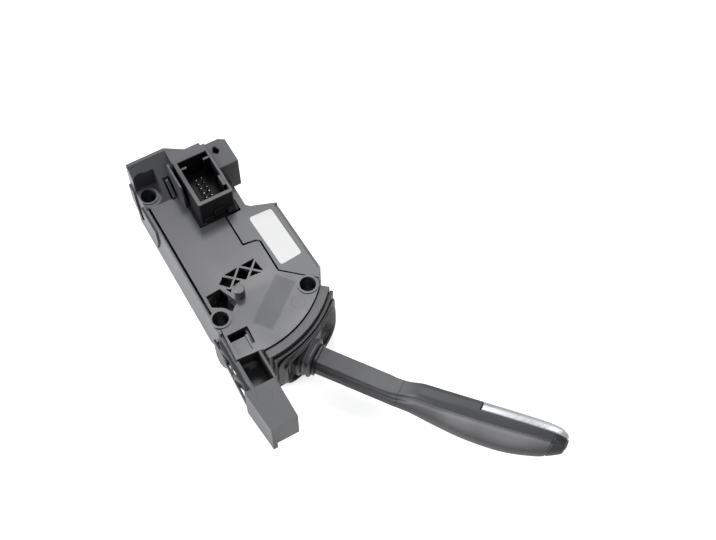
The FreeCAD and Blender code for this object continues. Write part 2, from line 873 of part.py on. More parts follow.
def soft_section(centre, half_width, z_low, z_high, inset=0.0):
    """An upright rectangle with soft corners, square to the boot's heading."""
    angle = math.radians(boot_heading)
    across = V(-math.sin(angle), math.cos(angle), 0)
    middle = V(centre[0], centre[1], (z_low + z_high) / 2)
    w, h = half_width - inset, (z_high - z_low) / 2 - inset
    corners = [middle + across * u + V(0, 0, v) for u, v in ((-w, -h), (w, -h), (w, h), (-w, h))]
    return soft_polygon(corners, [boot_corner * min(w, h)] * len(corners), 2)


def boot_sections():
    """The boot from the frame's arc to its neck: plan centre, half width, lowest and highest z."""
    foot = polar(front_arc_centre, retainer_outer_r - boot_sink, boot_side_angle)
    low, high = front_bottom + boot_margin, retainer_top - boot_margin
    neck = lever_mid_z - stem_half_height
    crown = lever_mid_z + stem_half_height
    return [
        (foot, 18.6, low, high),
        (lever_point(-9.5, 2.0), 15.4, low + 0.6, high - 0.4),
        (lever_point(-5.6, 1.0), 9.4, neck - 4.6, crown + 3.8),
        (lever_point(boot_end_s, 0.4), 6.8, neck - 2.6, crown + 2.4),
    ]


def make_rubber_boot():
    """The rubber boot: wide at the frame, narrow at its neck round the stem, open inside."""
    stations = boot_sections()
    outer = faceted_solid([soft_section(*station) for station in stations])
    inner = faceted_solid([soft_section(*station, boot_wall) for station in stations])
    module = arc_band(front_arc_centre, 5.0, retainer_outer_r, (-130, 10), -40, 10)
    skin = outer.cut(inner).cut(module)
    neck = lever_place(box((boot_end_s - 2.4, boot_end_s - 0.5), (-9, 9), (lever_mid_z - 9, lever_mid_z + 9)))
    stem = lever_place(stem_bar(boot_end_s - 5, boot_end_s + 5, boot_grip_gap))
    return largest(skin.fuse(neck.common(outer)).cut(stem))


def largest(shape):
    """The biggest solid of a shape."""
    return max(shape.Solids, key=lambda solid: solid.Volume)


def station_at(s):
    """The handle's values at s, on a smooth curve through the stations."""
    rows = handle_stations
    i = max(k for k in range(len(rows) - 1) if rows[k][0] <= s)
    here, there = rows[i], rows[i + 1]
    before, after = rows[max(i - 1, 0)], rows[min(i + 2, len(rows) - 1)]
    span = there[0] - here[0]
    u = (s - here[0]) / span
    values = [s]
    for k in range(1, len(here)):
        leave = span * (there[k] - before[k]) / (there[0] - before[0])
        arrive = span * (after[k] - here[k]) / (after[0] - here[0])
        rise = there[k] - here[k]
        square = 3 * rise - 2 * leave - arrive
        cube = leave + arrive - 2 * rise
        values.append(here[k] + leave * u + square * u ** 2 + cube * u ** 3)
    return tuple(values)


def handle_rows(s0, s1, count):
    """Evenly spaced stations of the handle between two values of s."""
    return [station_at(s0 + (s1 - s0) * i / (count - 1)) for i in range(count)]


def handle_section(station, inset=0.0):
    """The points of a section across the lever: soft corners, with the face set back on one side."""
    s, t_up, t_face, t_low, z_top, z_bottom = station
    low, high = t_low + inset, t_up - inset
    floor, roof = z_bottom + inset, z_top - inset
    girth = min(high - low, roof - floor)
    shoulder = roof - face_share * (roof - floor)
    corners = [V(s, low, floor), V(s, high, floor), V(s, high, roof), V(s, t_face + inset, roof), V(s, low, shoulder)]
    radii = [share * girth for share in handle_softness]
    return soft_polygon(corners, radii, 3)


def handle_body(inset=0.0):
    """The handle as one solid, set in from its outside."""
    rows = handle_rows(elbow_s, handle_stations[-1][0], handle_count)
    if inset == 0.0:
        rows.append(tip_station)
    return faceted_solid([handle_section(row, inset) for row in rows])


def handle_hollow():
    """The plain room inside the handle, clear of its soft edges."""
    sections = []
    for s, t_up, t_face, t_low, z_top, z_bottom in handle_rows(*hollow_s, 5):
        low, high = t_low + hollow_inset, t_up - hollow_inset
        floor, roof = z_bottom + hollow_inset, z_top - hollow_inset
        shoulder = roof - face_share * (roof - floor)
        face = max(low, t_face)
        corners = [V(s, low, floor), V(s, high, floor), V(s, high, roof), V(s, face, roof), V(s, low, shoulder)]
        sections.append(corners)
    return faceted_solid(sections)


def stem_bar(s0, s1, grow=0.0):
    """The straight stem: a bar with soft edges."""
    near, far = stem_t[0] - grow, stem_t[1] + grow
    low, high = lever_mid_z - stem_half_height - grow, lever_mid_z + stem_half_height + grow
    corners = [V(s0, near, low), V(s0, far, low), V(s0, far, high), V(s0, near, high)]
    wire = rounded_loop(corners, [stem_edge_r] * len(corners))
    return Part.Face(wire).extrude(V(s1 - s0, 0, 0))


def core_bar(s0, s1, grow=0.0):
    """The room for the metal core inside the stem."""
    a, h = core_half_width + grow, core_half_height + grow
    return box((s0, s1), (-a, a), (lever_mid_z - h, lever_mid_z + h))


def parting_tool():
    """Everything on the cover side of the line where the handle shells meet."""
    line = [(s, top - parting_drop) for s, _, _, _, top, _ in handle_stations]
    line = [(line[0][0] - 20, line[0][1])] + line + [(tip_s + 10, line[-1][1])]
    corners = [V(s, -30, z) for s, z in line]
    corners += [V(line[-1][0], -30, 20), V(line[0][0], -30, 20)]
    return Part.Face(Part.makePolygon(corners + corners[:1])).extrude(V(0, 60, 0))


def strip_region():
    """The space of the silver strip: the upper edge of the handle from its start round the tip."""
    s0, t0 = strip_start
    s1, t1 = strip_end
    slope = (t1 - t0) / (s1 - s0)
    end_s = tip_s + 2
    outline = [(s0, t0), (end_s, t0 + slope * (end_s - s0)), (end_s, 20), (s0, 20)]
    top = prism(outline, -13.0, 0, 1.4)
    low = box((s0 - 1, tip_s + 3), (-10, 30), (-30, -6.0 - strip_skirt - 1.6))
    return top.cut(low)


def button_region(grow=0.0, s0=button_inner_s, s1=tip_s + 3):
    """The straight guide of the park button."""
    t = (button_t[0] - grow, button_t[1] + grow)
    z = (button_z[0] - grow, button_z[1] + grow)
    outline = [V(s0, t[0], z[0]), V(s0, t[1], z[0]), V(s0, t[1], z[1]), V(s0, t[0], z[1])]
    block = Part.Face(Part.makePolygon(outline + outline[:1])).extrude(V(s1 - s0, 0, 0))
    edges = [e for e in block.Edges if e.BoundBox.XLength > (s1 - s0) / 2]
    return block.makeFillet(button_corner, edges)


def make_lever_carrier():
    """The hub on the pivot pin with its arm, sensor tail and plunger barrel."""
    hub_z = hub_heights()
    outer_r = pivot_pin_r + running_gap + bush_wall + 2.6
    hub = cylinder((0, 0), outer_r, *hub_z)
    arm_z = (lever_mid_z - stem_half_height + 0.2, lever_mid_z + stem_half_height - 0.2)
    arm = bar((0, 0), arm_elbow, arm_width, *arm_z)
    knee = cylinder(arm_elbow, arm_width / 2, *arm_z)
    tongue = lever_place(core_bar(stem_start - 1, stem_start + 9))
    tail = bar((0, 0), (0, magnet_y + 3.0), 7.0, tail_top - 3.2, tail_top)
    tail = tail.fuse(cylinder((0, magnet_y + 1.0), 5.2, tail_top - 3.2, tail_top))
    barrel = plunger_tube(3.4, plunger_start, plunger_mouth)
    body = joined([hub, arm, knee, tongue, tail, barrel])
    half_x, half_y = magnet_size[0] / 2, magnet_size[1] / 2
    cuts = [
        cylinder((0, 0), pivot_pin_r + running_gap + bush_wall, hub_z[0] - 1, hub_z[1] + 1),
        box((-half_x, half_x), (magnet_y - half_y, magnet_y + half_y), (tail_top - magnet_size[2], 0)),
        plunger_tube(plunger_r + running_gap, plunger_spring_seat, plunger_mouth + 1),
    ]
    stem_room = lever_place(stem_bar(stem_start, 40))
    shell = stem_room.cut(lever_place(core_bar(stem_start - 2, 41)))
    cuts.append(shell)
    return largest(without(body, cuts))


def hub_heights():
    """The bottom and top of the lever hub between its two seats."""
    low = -housing_depth + floor_thickness + floor_seat_height + side_gap
    high = -cover_thickness - cover_seat_height - side_gap
    return (low, high)


plunger_angle = 122.0
plunger_r = 1.9
plunger_start = pivot_seat_r + side_gap
plunger_spring_seat = 6.6
plunger_mouth = 13.2
plunger_reach = 15.6
plunger_z = -housing_depth + 9.0
plunger_foot = plunger_mouth - 3.4
nose_length = 1.4
nose_r = 0.8
track_depth = 0.5
track_gap = 0.08
notch_r = 1.9
spring_radius = 1.2
spring_wire = 0.4
spring_stations = 8


def plunger_tube(radius, r0, r1):
    """A lying cylinder along the plunger's line, from r0 to r1 out of the pivot axis."""
    angle = math.radians(plunger_angle)
    direction = V(math.cos(angle), math.sin(angle), 0)
    start = direction * r0 + V(0, 0, plunger_z)
    return Part.makeCylinder(radius, r1 - r0, start, direction)


def make_detent_plunger():
    """The spring-loaded plunger with its blunt cone."""
    angle = math.radians(plunger_angle)
    direction = V(math.cos(angle), math.sin(angle), 0)
    shank = plunger_tube(plunger_r, plunger_foot, plunger_reach - nose_length)
    start = direction * (plunger_reach - nose_length) + V(0, 0, plunger_z)
    return shank.fuse(Part.makeCone(plunger_r, nose_r, nose_length, start, direction))


def spring_helix(radius, wire, length, turns):
    """A compression spring along Z from the origin: a square wire through eight stations a turn."""
    stations = turns * spring_stations
    sections = []
    for i in range(stations + 1):
        angle = 2 * math.pi * i / spring_stations
        z = wire / 2 + (length - wire) * i / stations
        corners = []
        for r, h in ((-1, -1), (1, -1), (1, 1), (-1, 1)):
            reach = radius + r * wire / 2
            corners.append(V(reach * math.cos(angle), reach * math.sin(angle), z + h * wire / 2))
        sections.append(Part.makePolygon(corners + corners[:1]))
    return Part.makeLoft(sections, True, True)


def lay_along(shape, start, direction):
    """Move a shape drawn along Z so that it starts at a point and runs along a direction."""
    placed = shape.copy()
    placed.Placement = FreeCAD.Placement(start, FreeCAD.Rotation(V(0, 0, 1), direction))
    return placed


def make_detent_spring():
    """The spring behind the plunger."""
    angle = math.radians(plunger_angle)
    direction = V(math.cos(angle), math.sin(angle), 0)
    length = plunger_foot - plunger_spring_seat
    spring = spring_helix(spring_radius, spring_wire, length, 5)
    return lay_along(spring, direction * plunger_spring_seat + V(0, 0, plunger_z), direction)


def make_detent_track():
    """The curved track whose three notches the plunger feels."""
    inner = plunger_reach + track_gap
    span = (plunger_angle - 19, plunger_angle + 19)
    z = (-housing_depth + floor_thickness, plunger_z + 4.4)
    band = arc_band((0, 0), inner, inner + 3.0, span, *z)
    notches = []
    for step in (-swing_deg, 0.0, swing_deg):
        x, y = polar((0, 0), inner + track_depth - notch_r, plunger_angle + step)
        notches.append(Part.makeCylinder(notch_r, 8, V(x, y, plunger_z - 4)))
    room = prism(inner_points(), -housing_depth, 0)
    return largest(without(band, notches).common(room))


def inner_points():
    """A plain plan region that keeps the track clear of the housing wall."""
    return rectangle((left_x + wall, 30), (-30, 60))


def make_bushes():
    """Two plain bushes pressed into the ends of the hub, running on the pivot pin."""
    low, high = hub_heights()
    inner = pivot_pin_r + running_gap
    outer = inner + bush_wall
    bottom = tube((0, 0), inner, outer, low, low + bush_length)
    top = tube((0, 0), inner, outer, high - bush_length, high)
    return Part.makeCompound([bottom, top])


def make_pivot_pin():
    """The steel pin between the housing floor and the cover."""
    return cylinder((0, 0), pivot_pin_r, -housing_depth + 0.8, -0.9)


def make_magnet():
    """The magnet set in the hub's tail."""
    half_x, half_y = magnet_size[0] / 2, magnet_size[1] / 2
    return box((-half_x, half_x), (magnet_y - half_y, magnet_y + half_y), (tail_top - magnet_size[2], tail_top + 0.2))


def make_lever_stem():
    """The moulded stem from inside the boot to the handle's elbow, hollow for the core."""
    bar_part = stem_bar(stem_start, elbow_s)
    hollow = core_bar(stem_start - 1, elbow_s + 1)
    lead = box((stem_start - 1, elbow_s + 1), lead_t, lead_z)
    return lever_place(bar_part.cut(hollow).cut(lead))


lead_t = (core_half_width, core_half_width + 1.0)
lead_z = (lever_mid_z - 0.9, lever_mid_z + 0.9)


def make_steel_core():
    """The steel strip that stiffens the stem and carries the handle."""
    core = core_bar(stem_start + 9, core_end)
    holes = [Part.makeCylinder(1.0, 30, V(s, 0, lever_mid_z - 15)) for s in core_holes]
    return lever_place(without(core, holes))


core_holes = (46.0, 58.0)
handle_post = 2.5


def make_stem_collar():
    """The ring on the stem that holds the boot's neck."""
    ring = (seam_s - collar_width / 2, seam_s + collar_width / 2)
    outer = stem_bar(*ring, collar_lip)
    return lever_place(outer.cut(stem_bar(ring[0] - 1, ring[1] + 1)))


def handle_shell_solid():
    """The handle's outside less its hollow, strip and button opening."""
    body = handle_body().cut(handle_hollow())
    body = body.cut(core_bar(elbow_s - 1, core_end + 2, 0.05))
    body = body.cut(box((elbow_s - 1, 50.0), (lead_t[0] - 0.1, lead_t[1]), lead_z))
    body = body.cut(button_region(button_gap, s0=90))
    body = body.cut(switch_block(0.05))
    body = body.cut(box((bezel_end_s, tip_s + 5), (-20, 30), (-40, 5)))
    return body.cut(strip_solid(0.05))


def strip_solid(grow=0.0):
    """The outer skin of the handle inside the strip's region."""
    skin = handle_body().common(strip_region()).cut(handle_body(strip_depth + grow))
    skin = skin.cut(box((bezel_end_s, tip_s + 5), (-20, 30), (-40, 5)))
    skin = skin.cut(button_region(button_gap, s0=90))
    return largest(skin)


def make_handle_shells():
    """The two handle shells, parted just under the face on the cover side."""
    body = handle_shell_solid()
    above = parting_tool()
    rear = largest(body.common(above))
    front = largest(body.cut(above))
    outer = handle_body()
    post_z = (lever_mid_z - core_half_height - 12.05, lever_mid_z - core_half_height - 0.05)
    posts = [box((s - handle_post, s + handle_post), (-handle_post, handle_post), post_z) for s in core_holes]
    posts = [p.common(outer) for p in posts]
    holes = [Part.makeCylinder(1.0, 30, V(s, 0, lever_mid_z - 32)) for s in core_holes]
    heads = [Part.makeCylinder(2.0, 30, V(s, 0, lever_mid_z - core_half_height - 34)) for s in core_holes]
    front = without(joined([front] + posts), holes + heads)
    return lever_place(rear), lever_place(largest(front))


def make_handle_screws():
    """Two screws through the front shell into the core."""
    screws = []
    for s in core_holes:
        seat = lever_mid_z - core_half_height - 4
        shank = Part.makeCylinder(1.0, 4 + 2 * core_half_height - 0.2, V(s, 0, seat))
        head = Part.makeCylinder(1.9, 1.4, V(s, 0, seat - 1.4))
        screws.append(lever_place(shank.fuse(head)))
    return Part.makeCompound(screws)


def make_park_button():
    """The push button in the end of the handle, with its stem and stop flange."""
    outer = handle_body()
    cap = button_region().common(outer.fuse(button_region(0, button_inner_s, bezel_end_s - 0.2)))
    return lever_place(largest(cap))


def switch_block(grow=0.0):
    """The room of the switch behind the button."""
    t = (button_t[0] - 0.4, button_t[1] - 0.9)
    z = (lever_mid_z - 3.0, lever_mid_z + 3.0)
    return box((switch_s[0] - grow, switch_s[1] + grow), (t[0] - grow, t[1] + grow), (z[0] - grow, z[1] + grow))


def make_button_switch():
    """The small switch behind the button."""
    return lever_place(switch_block())


def make_button_spring():
    """The spring that returns the button."""
    mid_t = (button_t[0] + button_t[1]) / 2
    spring = spring_helix(spring_radius, spring_wire, button_inner_s - switch_s[1], 3)
    return lever_place(lay_along(spring, V(switch_s[1], mid_t - 0.4, lever_mid_z), V(1, 0, 0)))


def make_switch_lead():
    """The flat lead that runs beside the core from the switch to the hub end."""
    mid = (lead_z[0] + lead_z[1]) / 2
    z = (mid - 0.6, mid + 0.6)
    t = (lead_t[0] + 0.1, lead_t[1] - 0.1)
    run = box((stem_start + 0.5, 70.0), t, z)
    slope = [V(70.0, t[0], z[0]), V(70.0, t[1], z[0]), V(switch_s[0], 5.6, z[0]), V(switch_s[0], 4.6, z[0])]
    bend = Part.Face(Part.makePolygon(slope + slope[:1])).extrude(V(0, 0, z[1] - z[0]))
    return lever_place(run.fuse(bend).removeSplitter())


def make_end_bracket():
    """The mounting bracket: a hollow tapered block with a deep left wall, two long webs and their floor."""
    corners = [bracket_back, bracket_front, (bracket_right, bracket_front[1]), (bracket_right, bracket_back[1])]
    block = prism(corners, -bracket_depth, 0, 0.4)
    inside = prism(
        [
            (bracket_back[0] + bracket_wall, bracket_back[1] + 1),
            (bracket_front[0] + bracket_wall, bracket_front[1] + bracket_wall),
            (bracket_right - bracket_wall, bracket_front[1] + bracket_wall),
            (bracket_right - bracket_wall, bracket_back[1] + 1),
        ],
        -bracket_depth - 1,
        -bracket_wall,
    )
    block = block.cut(inside)
    side = prism(
        [
            bracket_back,
            bracket_front,
            (bracket_front[0] + bracket_wall, bracket_front[1]),
            (bracket_back[0] + bracket_wall, bracket_back[1]),
        ],
        -bracket_depth - bracket_leg,
        -0.5,
    )
    webs = []
    for web_x in (web_left_x, web_right_x):
        x = (web_x - web_thickness / 2, web_x + web_thickness / 2)
        webs.append(box(x, (bracket_back[1] - 0.5, lip_y - 0.05), (-bracket_depth, 0)))
        webs.append(box(x, (lip_y - 0.1, toe_y), (-bracket_depth, -cover_thickness - 0.05)))
    floor = box((web_left_x, web_right_x), (bracket_back[1] - 0.5, toe_y), (-bracket_depth, -bracket_depth + 1.5))
    skirt_room = box(
        (skirt_x[0] - 0.1, skirt_x[1] + 0.1),
        (lip_y + 1.1, lip_y + 2.5),
        (-skirt_depth - 0.1, 0),
    )
    return joined([block, side, floor] + webs).cut(skirt_room)


def make_side_truss():
    """The open truss along the left side: outer rail, chord, slanting ribs and the round tab."""
    rail_back = (truss_back_x, bracket_back[1] + 0.05)
    rail_front = (truss_front_x, truss_front_y)
    rail = bar(rail_back, rail_front, truss_rib, -bracket_depth, -bracket_depth + truss_rail)
    inner_x = web_left_x - web_thickness / 2
    chord_z = (-bracket_depth + 5.0, -bracket_depth + 5.0 + truss_rail)
    chord = box((inner_x - 1.0, inner_x - 0.05), (bracket_back[1] + 0.05, toe_y - 0.05), chord_z)
    step = (truss_front_y - bracket_back[1]) / truss_bays
    ribs = []
    for i in range(truss_bays):
        y0 = bracket_back[1] + 0.6 + step * i
        y1 = y0 + step - 0.8
        rail_x0 = truss_back_x + (truss_front_x - truss_back_x) * i / truss_bays
        rail_x1 = truss_back_x + (truss_front_x - truss_back_x) * (i + 1) / truss_bays
        start = (rail_x0, y0) if i % 2 == 0 else (inner_x - 0.5, y0)
        end = (inner_x - 0.5, y1) if i % 2 == 0 else (rail_x1, y1)
        ribs.append(bar(start, end, truss_rib, -bracket_depth + 0.5, chord_z[1] - 0.3))
    tab = side_prism(
        [(-8.0, -10.0), (-8.0, -24.5), (-10.6, -27.0), (-14.2, -24.4), (-18.9, -17.8), (-20.2, -12.0), (-19.0, -10.0)],
        truss_front_x - truss_rib / 2,
        truss_front_x + truss_rib / 2,
    )
    tie = box((truss_front_x, left_x - 0.05), (-9.6, -8.6), (-20.0, -12.0))
    return joined([rail, chord, tab, tie] + ribs)


def make_label():
    """The blank paper label on the deck, turned two degrees."""
    corners = [(20.4, 31.8), (21.6, 4.45), (31.85, 5.3), (30.9, 31.3)]
    return prism(corners, 0.0, 0.15, 1.2)


def export_all():
    """Write every sub-part as its own file."""
    rear_shell, front_shell = make_handle_shells()
    nodes = {
        "main_housing": make_main_housing(),
        "rear_cover": make_rear_cover(),
        "connector_hood": make_connector_hood(),
        "connector_shroud": make_connector_shroud(),
        "connector_pins": make_connector_pins(),
        "circuit_board": make_circuit_board(),
        "board_screws": make_board_screws(),
        "hall_sensors": make_hall_sensor(),
        "board_components": make_board_parts(),
        "lead_socket": make_lead_socket(),
        "screw_sleeves": make_screw_sleeves(),
        "front_frame": make_front_frame(),
        "boot_retainer": make_boot_retainer(),
        "rubber_boot": make_rubber_boot(),
        "detent_track": make_detent_track(),
        "pivot_pin": make_pivot_pin(),
        "lever_carrier": make_lever_carrier(),
        "pivot_bushes": make_bushes(),
        "position_magnet": make_magnet(),
        "detent_plunger": make_detent_plunger(),
        "detent_spring": make_detent_spring(),
        "lever_stem": make_lever_stem(),
        "steel_core": make_steel_core(),
        "stem_collar": make_stem_collar(),
        "handle_rear_shell": rear_shell,
        "handle_front_shell": front_shell,
        "silver_strip": lever_place(strip_solid()),
        "handle_screws": make_handle_screws(),
        "park_button": make_park_button(),
        "button_switch": make_button_switch(),
        "button_spring": make_button_spring(),
        "switch_lead": make_switch_lead(),
        "end_bracket": make_end_bracket(),
        "side_truss": make_side_truss(),
        "blank_label": make_label(),
    }
    os.makedirs("parts", exist_ok=True)
    for name, shape in nodes.items():
        shape.exportStep("parts/" + name + ".step")
        box_size = shape.BoundBox
        print(name, "solids", len(shape.Solids), "valid", shape.isValid(), "volume", round(shape.Volume, 1),
              "size", round(box_size.XLength, 1), round(box_size.YLength, 1), round(box_size.ZLength, 1))


export_all()
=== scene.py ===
# %% [markdown]
# # A gear selector lever, dressed over its CAD frame
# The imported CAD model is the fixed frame: every node already has its true size and place.
# This file adds what CAD leaves plain, which is soft edges, moulded grain, rubber and brushed
# metal. We load the frame first and note its box, because nothing we add may change the size.

# %% Load the frame
import math
import bmesh
import bpy
import numpy as np
from mathutils import Matrix, Vector


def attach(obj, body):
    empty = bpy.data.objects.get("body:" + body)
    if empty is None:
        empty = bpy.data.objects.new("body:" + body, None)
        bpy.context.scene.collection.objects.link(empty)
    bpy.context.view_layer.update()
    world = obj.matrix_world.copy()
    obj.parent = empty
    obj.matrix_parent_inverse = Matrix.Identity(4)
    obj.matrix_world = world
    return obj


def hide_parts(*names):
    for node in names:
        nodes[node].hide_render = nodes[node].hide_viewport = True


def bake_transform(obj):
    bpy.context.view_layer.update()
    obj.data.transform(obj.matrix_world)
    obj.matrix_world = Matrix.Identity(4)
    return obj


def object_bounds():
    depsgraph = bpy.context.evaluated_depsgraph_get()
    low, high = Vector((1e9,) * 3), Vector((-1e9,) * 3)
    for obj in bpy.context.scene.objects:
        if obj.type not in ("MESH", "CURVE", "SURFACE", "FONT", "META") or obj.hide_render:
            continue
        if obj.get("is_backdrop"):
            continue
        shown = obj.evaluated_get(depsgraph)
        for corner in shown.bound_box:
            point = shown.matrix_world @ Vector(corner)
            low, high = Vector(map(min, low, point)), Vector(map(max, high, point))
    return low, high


MM = 0.001
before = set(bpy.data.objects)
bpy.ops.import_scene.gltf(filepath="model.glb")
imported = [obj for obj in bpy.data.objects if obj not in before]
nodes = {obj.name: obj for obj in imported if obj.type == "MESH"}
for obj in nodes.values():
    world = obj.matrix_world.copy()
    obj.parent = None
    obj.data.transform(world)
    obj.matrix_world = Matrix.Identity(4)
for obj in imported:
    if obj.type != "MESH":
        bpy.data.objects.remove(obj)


def box_numbers():
    """The whole object's box as plain numbers."""
    low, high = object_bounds()
    return [[float(v) for v in low], [float(v) for v in high]]


cad_box = box_numbers()
print("CAD box", cad_box, "nodes", len(nodes))

# %% [markdown]
# ## Camera
# The photograph looks down on the cover from the bracket side, turned about thirty degrees.
# A camera could be aimed by eye, but its place and direction were worked out from the module's
# straight edges, so we set it from a position and the directions of its right and its up.

# %% Camera
camera_place = Vector((-0.08671, -0.24930, 0.47025))
camera_right = Vector((0.86777, -0.49697, 0.0))
camera_up = Vector((0.43039, 0.75151, 0.5))
lens_mm, film_mm = 65.36, 36.0


def put_in_scene(name, data):
    """A new object for some data, linked to the scene."""
    thing = bpy.data.objects.new(name, data)
    bpy.context.scene.collection.objects.link(thing)
    return thing


camera_data = bpy.data.cameras.new("photo_camera")
camera_data.sensor_width = film_mm
camera_data.lens = lens_mm
camera_data.clip_end = 10.0
camera = put_in_scene("photo_camera", camera_data)
axes = Matrix((camera_right, camera_up, camera_right.cross(camera_up)))
camera.matrix_world = Matrix.Translation(camera_place) @ axes.transposed().to_4x4()
bpy.context.scene.camera = camera
bpy.context.scene.view_settings.view_transform = "Standard"
print("camera lens", round(camera_data.lens, 2))

# %% [markdown]
# ## Floor
# The module lies on its flat back, so the floor is just under its lowest face.

# %% Floor
floor_gap, floor_half = 0.0003, 3.0
floor_height = cad_box[0][2] - floor_gap
floor_corners = [
    (x * floor_half, y * floor_half, floor_height)
    for x, y in ((-1, -1), (1, -1), (1, 1), (-1, 1))
]
floor_mesh = bpy.data.meshes.new("floor")
floor_mesh.from_pydata(floor_corners, [], [(0, 1, 2, 3)])
floor = put_in_scene("floor", floor_mesh)
floor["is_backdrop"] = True
print("floor at", round(floor_height, 4))

# %% [markdown]
# ## A white background that lights nothing
# The photograph's object stands on pure white. More light would reach that white but would also
# clip the pale label. So the white is shown and not shed: the Light Path node tells which rays
# come from the camera, a mirror or glass, and only those see the floor glow and the sky pale.
# We first write the small helpers that make nodes, so that a tree reads like its formula.

# %% Node helpers
def new_material(name):
    """An empty node material with its tree and its Principled shader."""
    material = bpy.data.materials.new(name)
    material.use_nodes = True
    tree = material.node_tree
    return material, tree, tree.nodes["Principled BSDF"]


def feed(tree, value, socket):
    """Give a socket a plain value, or a link when the value is another node's socket."""
    if isinstance(value, bpy.types.NodeSocket):
        tree.links.new(value, socket)
    else:
        socket.default_value = value


def math_node(tree, operation, *values):
    """The result of a Math node whose inputs are sockets or numbers."""
    node = tree.nodes.new("ShaderNodeMath")
    node.operation = operation
    for value, socket in zip(values, node.inputs):
        feed(tree, value, socket)
    return node.outputs[0]


def seen_directly(tree, path):
    """One for rays from the camera, a mirror or glass, zero for the rays that carry light."""
    seen = path.outputs["Is Camera Ray"]
    for kind in ("Is Glossy Ray", "Is Transmission Ray"):
        seen = math_node(tree, "MAXIMUM", seen, path.outputs[kind])
    return seen


def mix_shaders(tree, factor, first, second, target):
    """Mix two shaders by a factor into a target socket."""
    mix = tree.nodes.new("ShaderNodeMixShader")
    for value, socket in zip((factor, first, second), mix.inputs):
        tree.links.new(value, socket)
    tree.links.new(mix.outputs[0], target)


print("node helpers", [f.__name__ for f in (new_material, feed, math_node, mix_shaders)])

# %% [markdown]
# The floor is pale and matt, so that it keeps the object's shadow. Its glow is added only for
# the rays named above. A mirrored floor glows a little less, which keeps dark plastic dark.

# %% Floor material
floor_color, floor_roughness = (0.86, 0.86, 0.86, 1), 0.9
floor_glow, mirrored_floor_change = 0.68, -0.12
floor_material, tree, shader = new_material("pale_floor")
shader.inputs["Base Color"].default_value = floor_color
shader.inputs["Roughness"].default_value = floor_roughness
path = tree.nodes.new("ShaderNodeLightPath")
glow = tree.nodes.new("ShaderNodeEmission")
glow.inputs["Color"].default_value = (1, 1, 1, 1)
mirrored = path.outputs["Is Glossy Ray"]
strength = math_node(tree, "MULTIPLY_ADD", mirrored, mirrored_floor_change, floor_glow)
feed(tree, strength, glow.inputs["Strength"])
glowing = tree.nodes.new("ShaderNodeAddShader")
tree.links.new(shader.outputs[0], glowing.inputs[0])
tree.links.new(glow.outputs[0], glowing.inputs[1])
surface = tree.nodes["Material Output"].inputs["Surface"]
mix_shaders(tree, seen_directly(tree, path), shader.outputs[0], glowing.outputs[0], surface)
floor.data.materials.append(floor_material)
print("floor glow", floor_glow)

# %% [markdown]
# The world gets the same treatment. What lights the object is a dim, slightly cool sky. What the
# camera and the gloss of the plastic see is a plain pale one, like the walls of a studio.

# %% World
sky_color, sky_strength = (0.96, 0.98, 1.0, 1), 0.28
seen_sky_color = (0.8, 0.8, 0.8, 1)
world = bpy.data.worlds.new("studio")
bpy.context.scene.world = world
world.use_nodes = True
tree = world.node_tree
sky = tree.nodes["Background"]
sky.inputs["Color"].default_value = sky_color
sky.inputs["Strength"].default_value = sky_strength
seen_sky = tree.nodes.new("ShaderNodeBackground")
seen_sky.inputs["Color"].default_value = seen_sky_color
path = tree.nodes.new("ShaderNodeLightPath")
surface = tree.nodes["World Output"].inputs["Surface"]
mix_shaders(tree, seen_directly(tree, path), sky.outputs[0], seen_sky.outputs[0], surface)
print("sky strength", sky_strength)

# %% [markdown]
# ## Lamps
# The photograph is lit by a large soft box low on the left, so the long side wall is pale. A
# second one high behind the socket lays a sheen on the cover, a small one picks out the
# silver strip at the handle's end, and a weak one fills the right side. Area lamps give the soft
# edges of such boxes, and a table keeps their places together.

# %% Lamps
lamp_table = [
    # name, place, point that it faces, side in metres, power in watts
    ("left_box", (-1.05, 0.2, 0.30), (0, 0, 0), 0.6, 17.5),
    ("top_box", (0.27, 0.47, 1.1), (0.02, -0.02, 0), 0.32, 5.0),
    ("end_box", (0.64, -0.06, 0.95), (0.07, -0.1, 0), 0.16, 0.9),
    ("right_fill", (0.9, 0.1, 0.7), (0.03, 0, 0), 0.8, 1.6),
]


def soft_box(name, place, aim, side, power):
    """A square area lamp at a place, turned to face a point."""
    data = bpy.data.lights.new(name, "AREA")
    data.shape = "SQUARE"
    data.size = side
    data.energy = power
    lamp = put_in_scene(name, data)
    lamp.location = place
    lamp.rotation_euler = (Vector(aim) - Vector(place)).to_track_quat("-Z", "Y").to_euler()


for row in lamp_table:
    soft_box(*row)
print("lamps", [row[0] for row in lamp_table])

# %% [markdown]
# ## Moulded plastic
# Moulded plastic is never flat: the tool leaves a fine spark grain, the surface has faint cloudy
# flow, and dust settles on the faces that look up. The same lighter colour on the faces that look
# up is also painted top light, standing in for the light that falls on them from above. All three
# could be painted into maps, but noise from Object coordinates has the same scale on every piece
# and needs no map. Nearly every material uses it, so it is one node group, and each material gives
# it its own amounts. First come the helpers that make a group and the nodes inside it.

# %% Group helpers
def new_group(name, inputs, outputs):
    """A shader node group: inputs by name and value, outputs by name and number of channels."""
    group = bpy.data.node_groups.new(name, "ShaderNodeTree")
    kinds = {1: "NodeSocketFloat", 3: "NodeSocketVector", 4: "NodeSocketColor"}
    for socket_name, value in inputs.items():
        kind = kinds[len(value) if isinstance(value, tuple) else 1]
        socket = group.interface.new_socket(name=socket_name, in_out="INPUT", socket_type=kind)
        socket.default_value = value
    for socket_name, channels in outputs.items():
        group.interface.new_socket(
            name=socket_name, in_out="OUTPUT", socket_type=kinds[channels]
        )
    source, result = group.nodes.new("NodeGroupInput"), group.nodes.new("NodeGroupOutput")
    return group, source.outputs, result.inputs


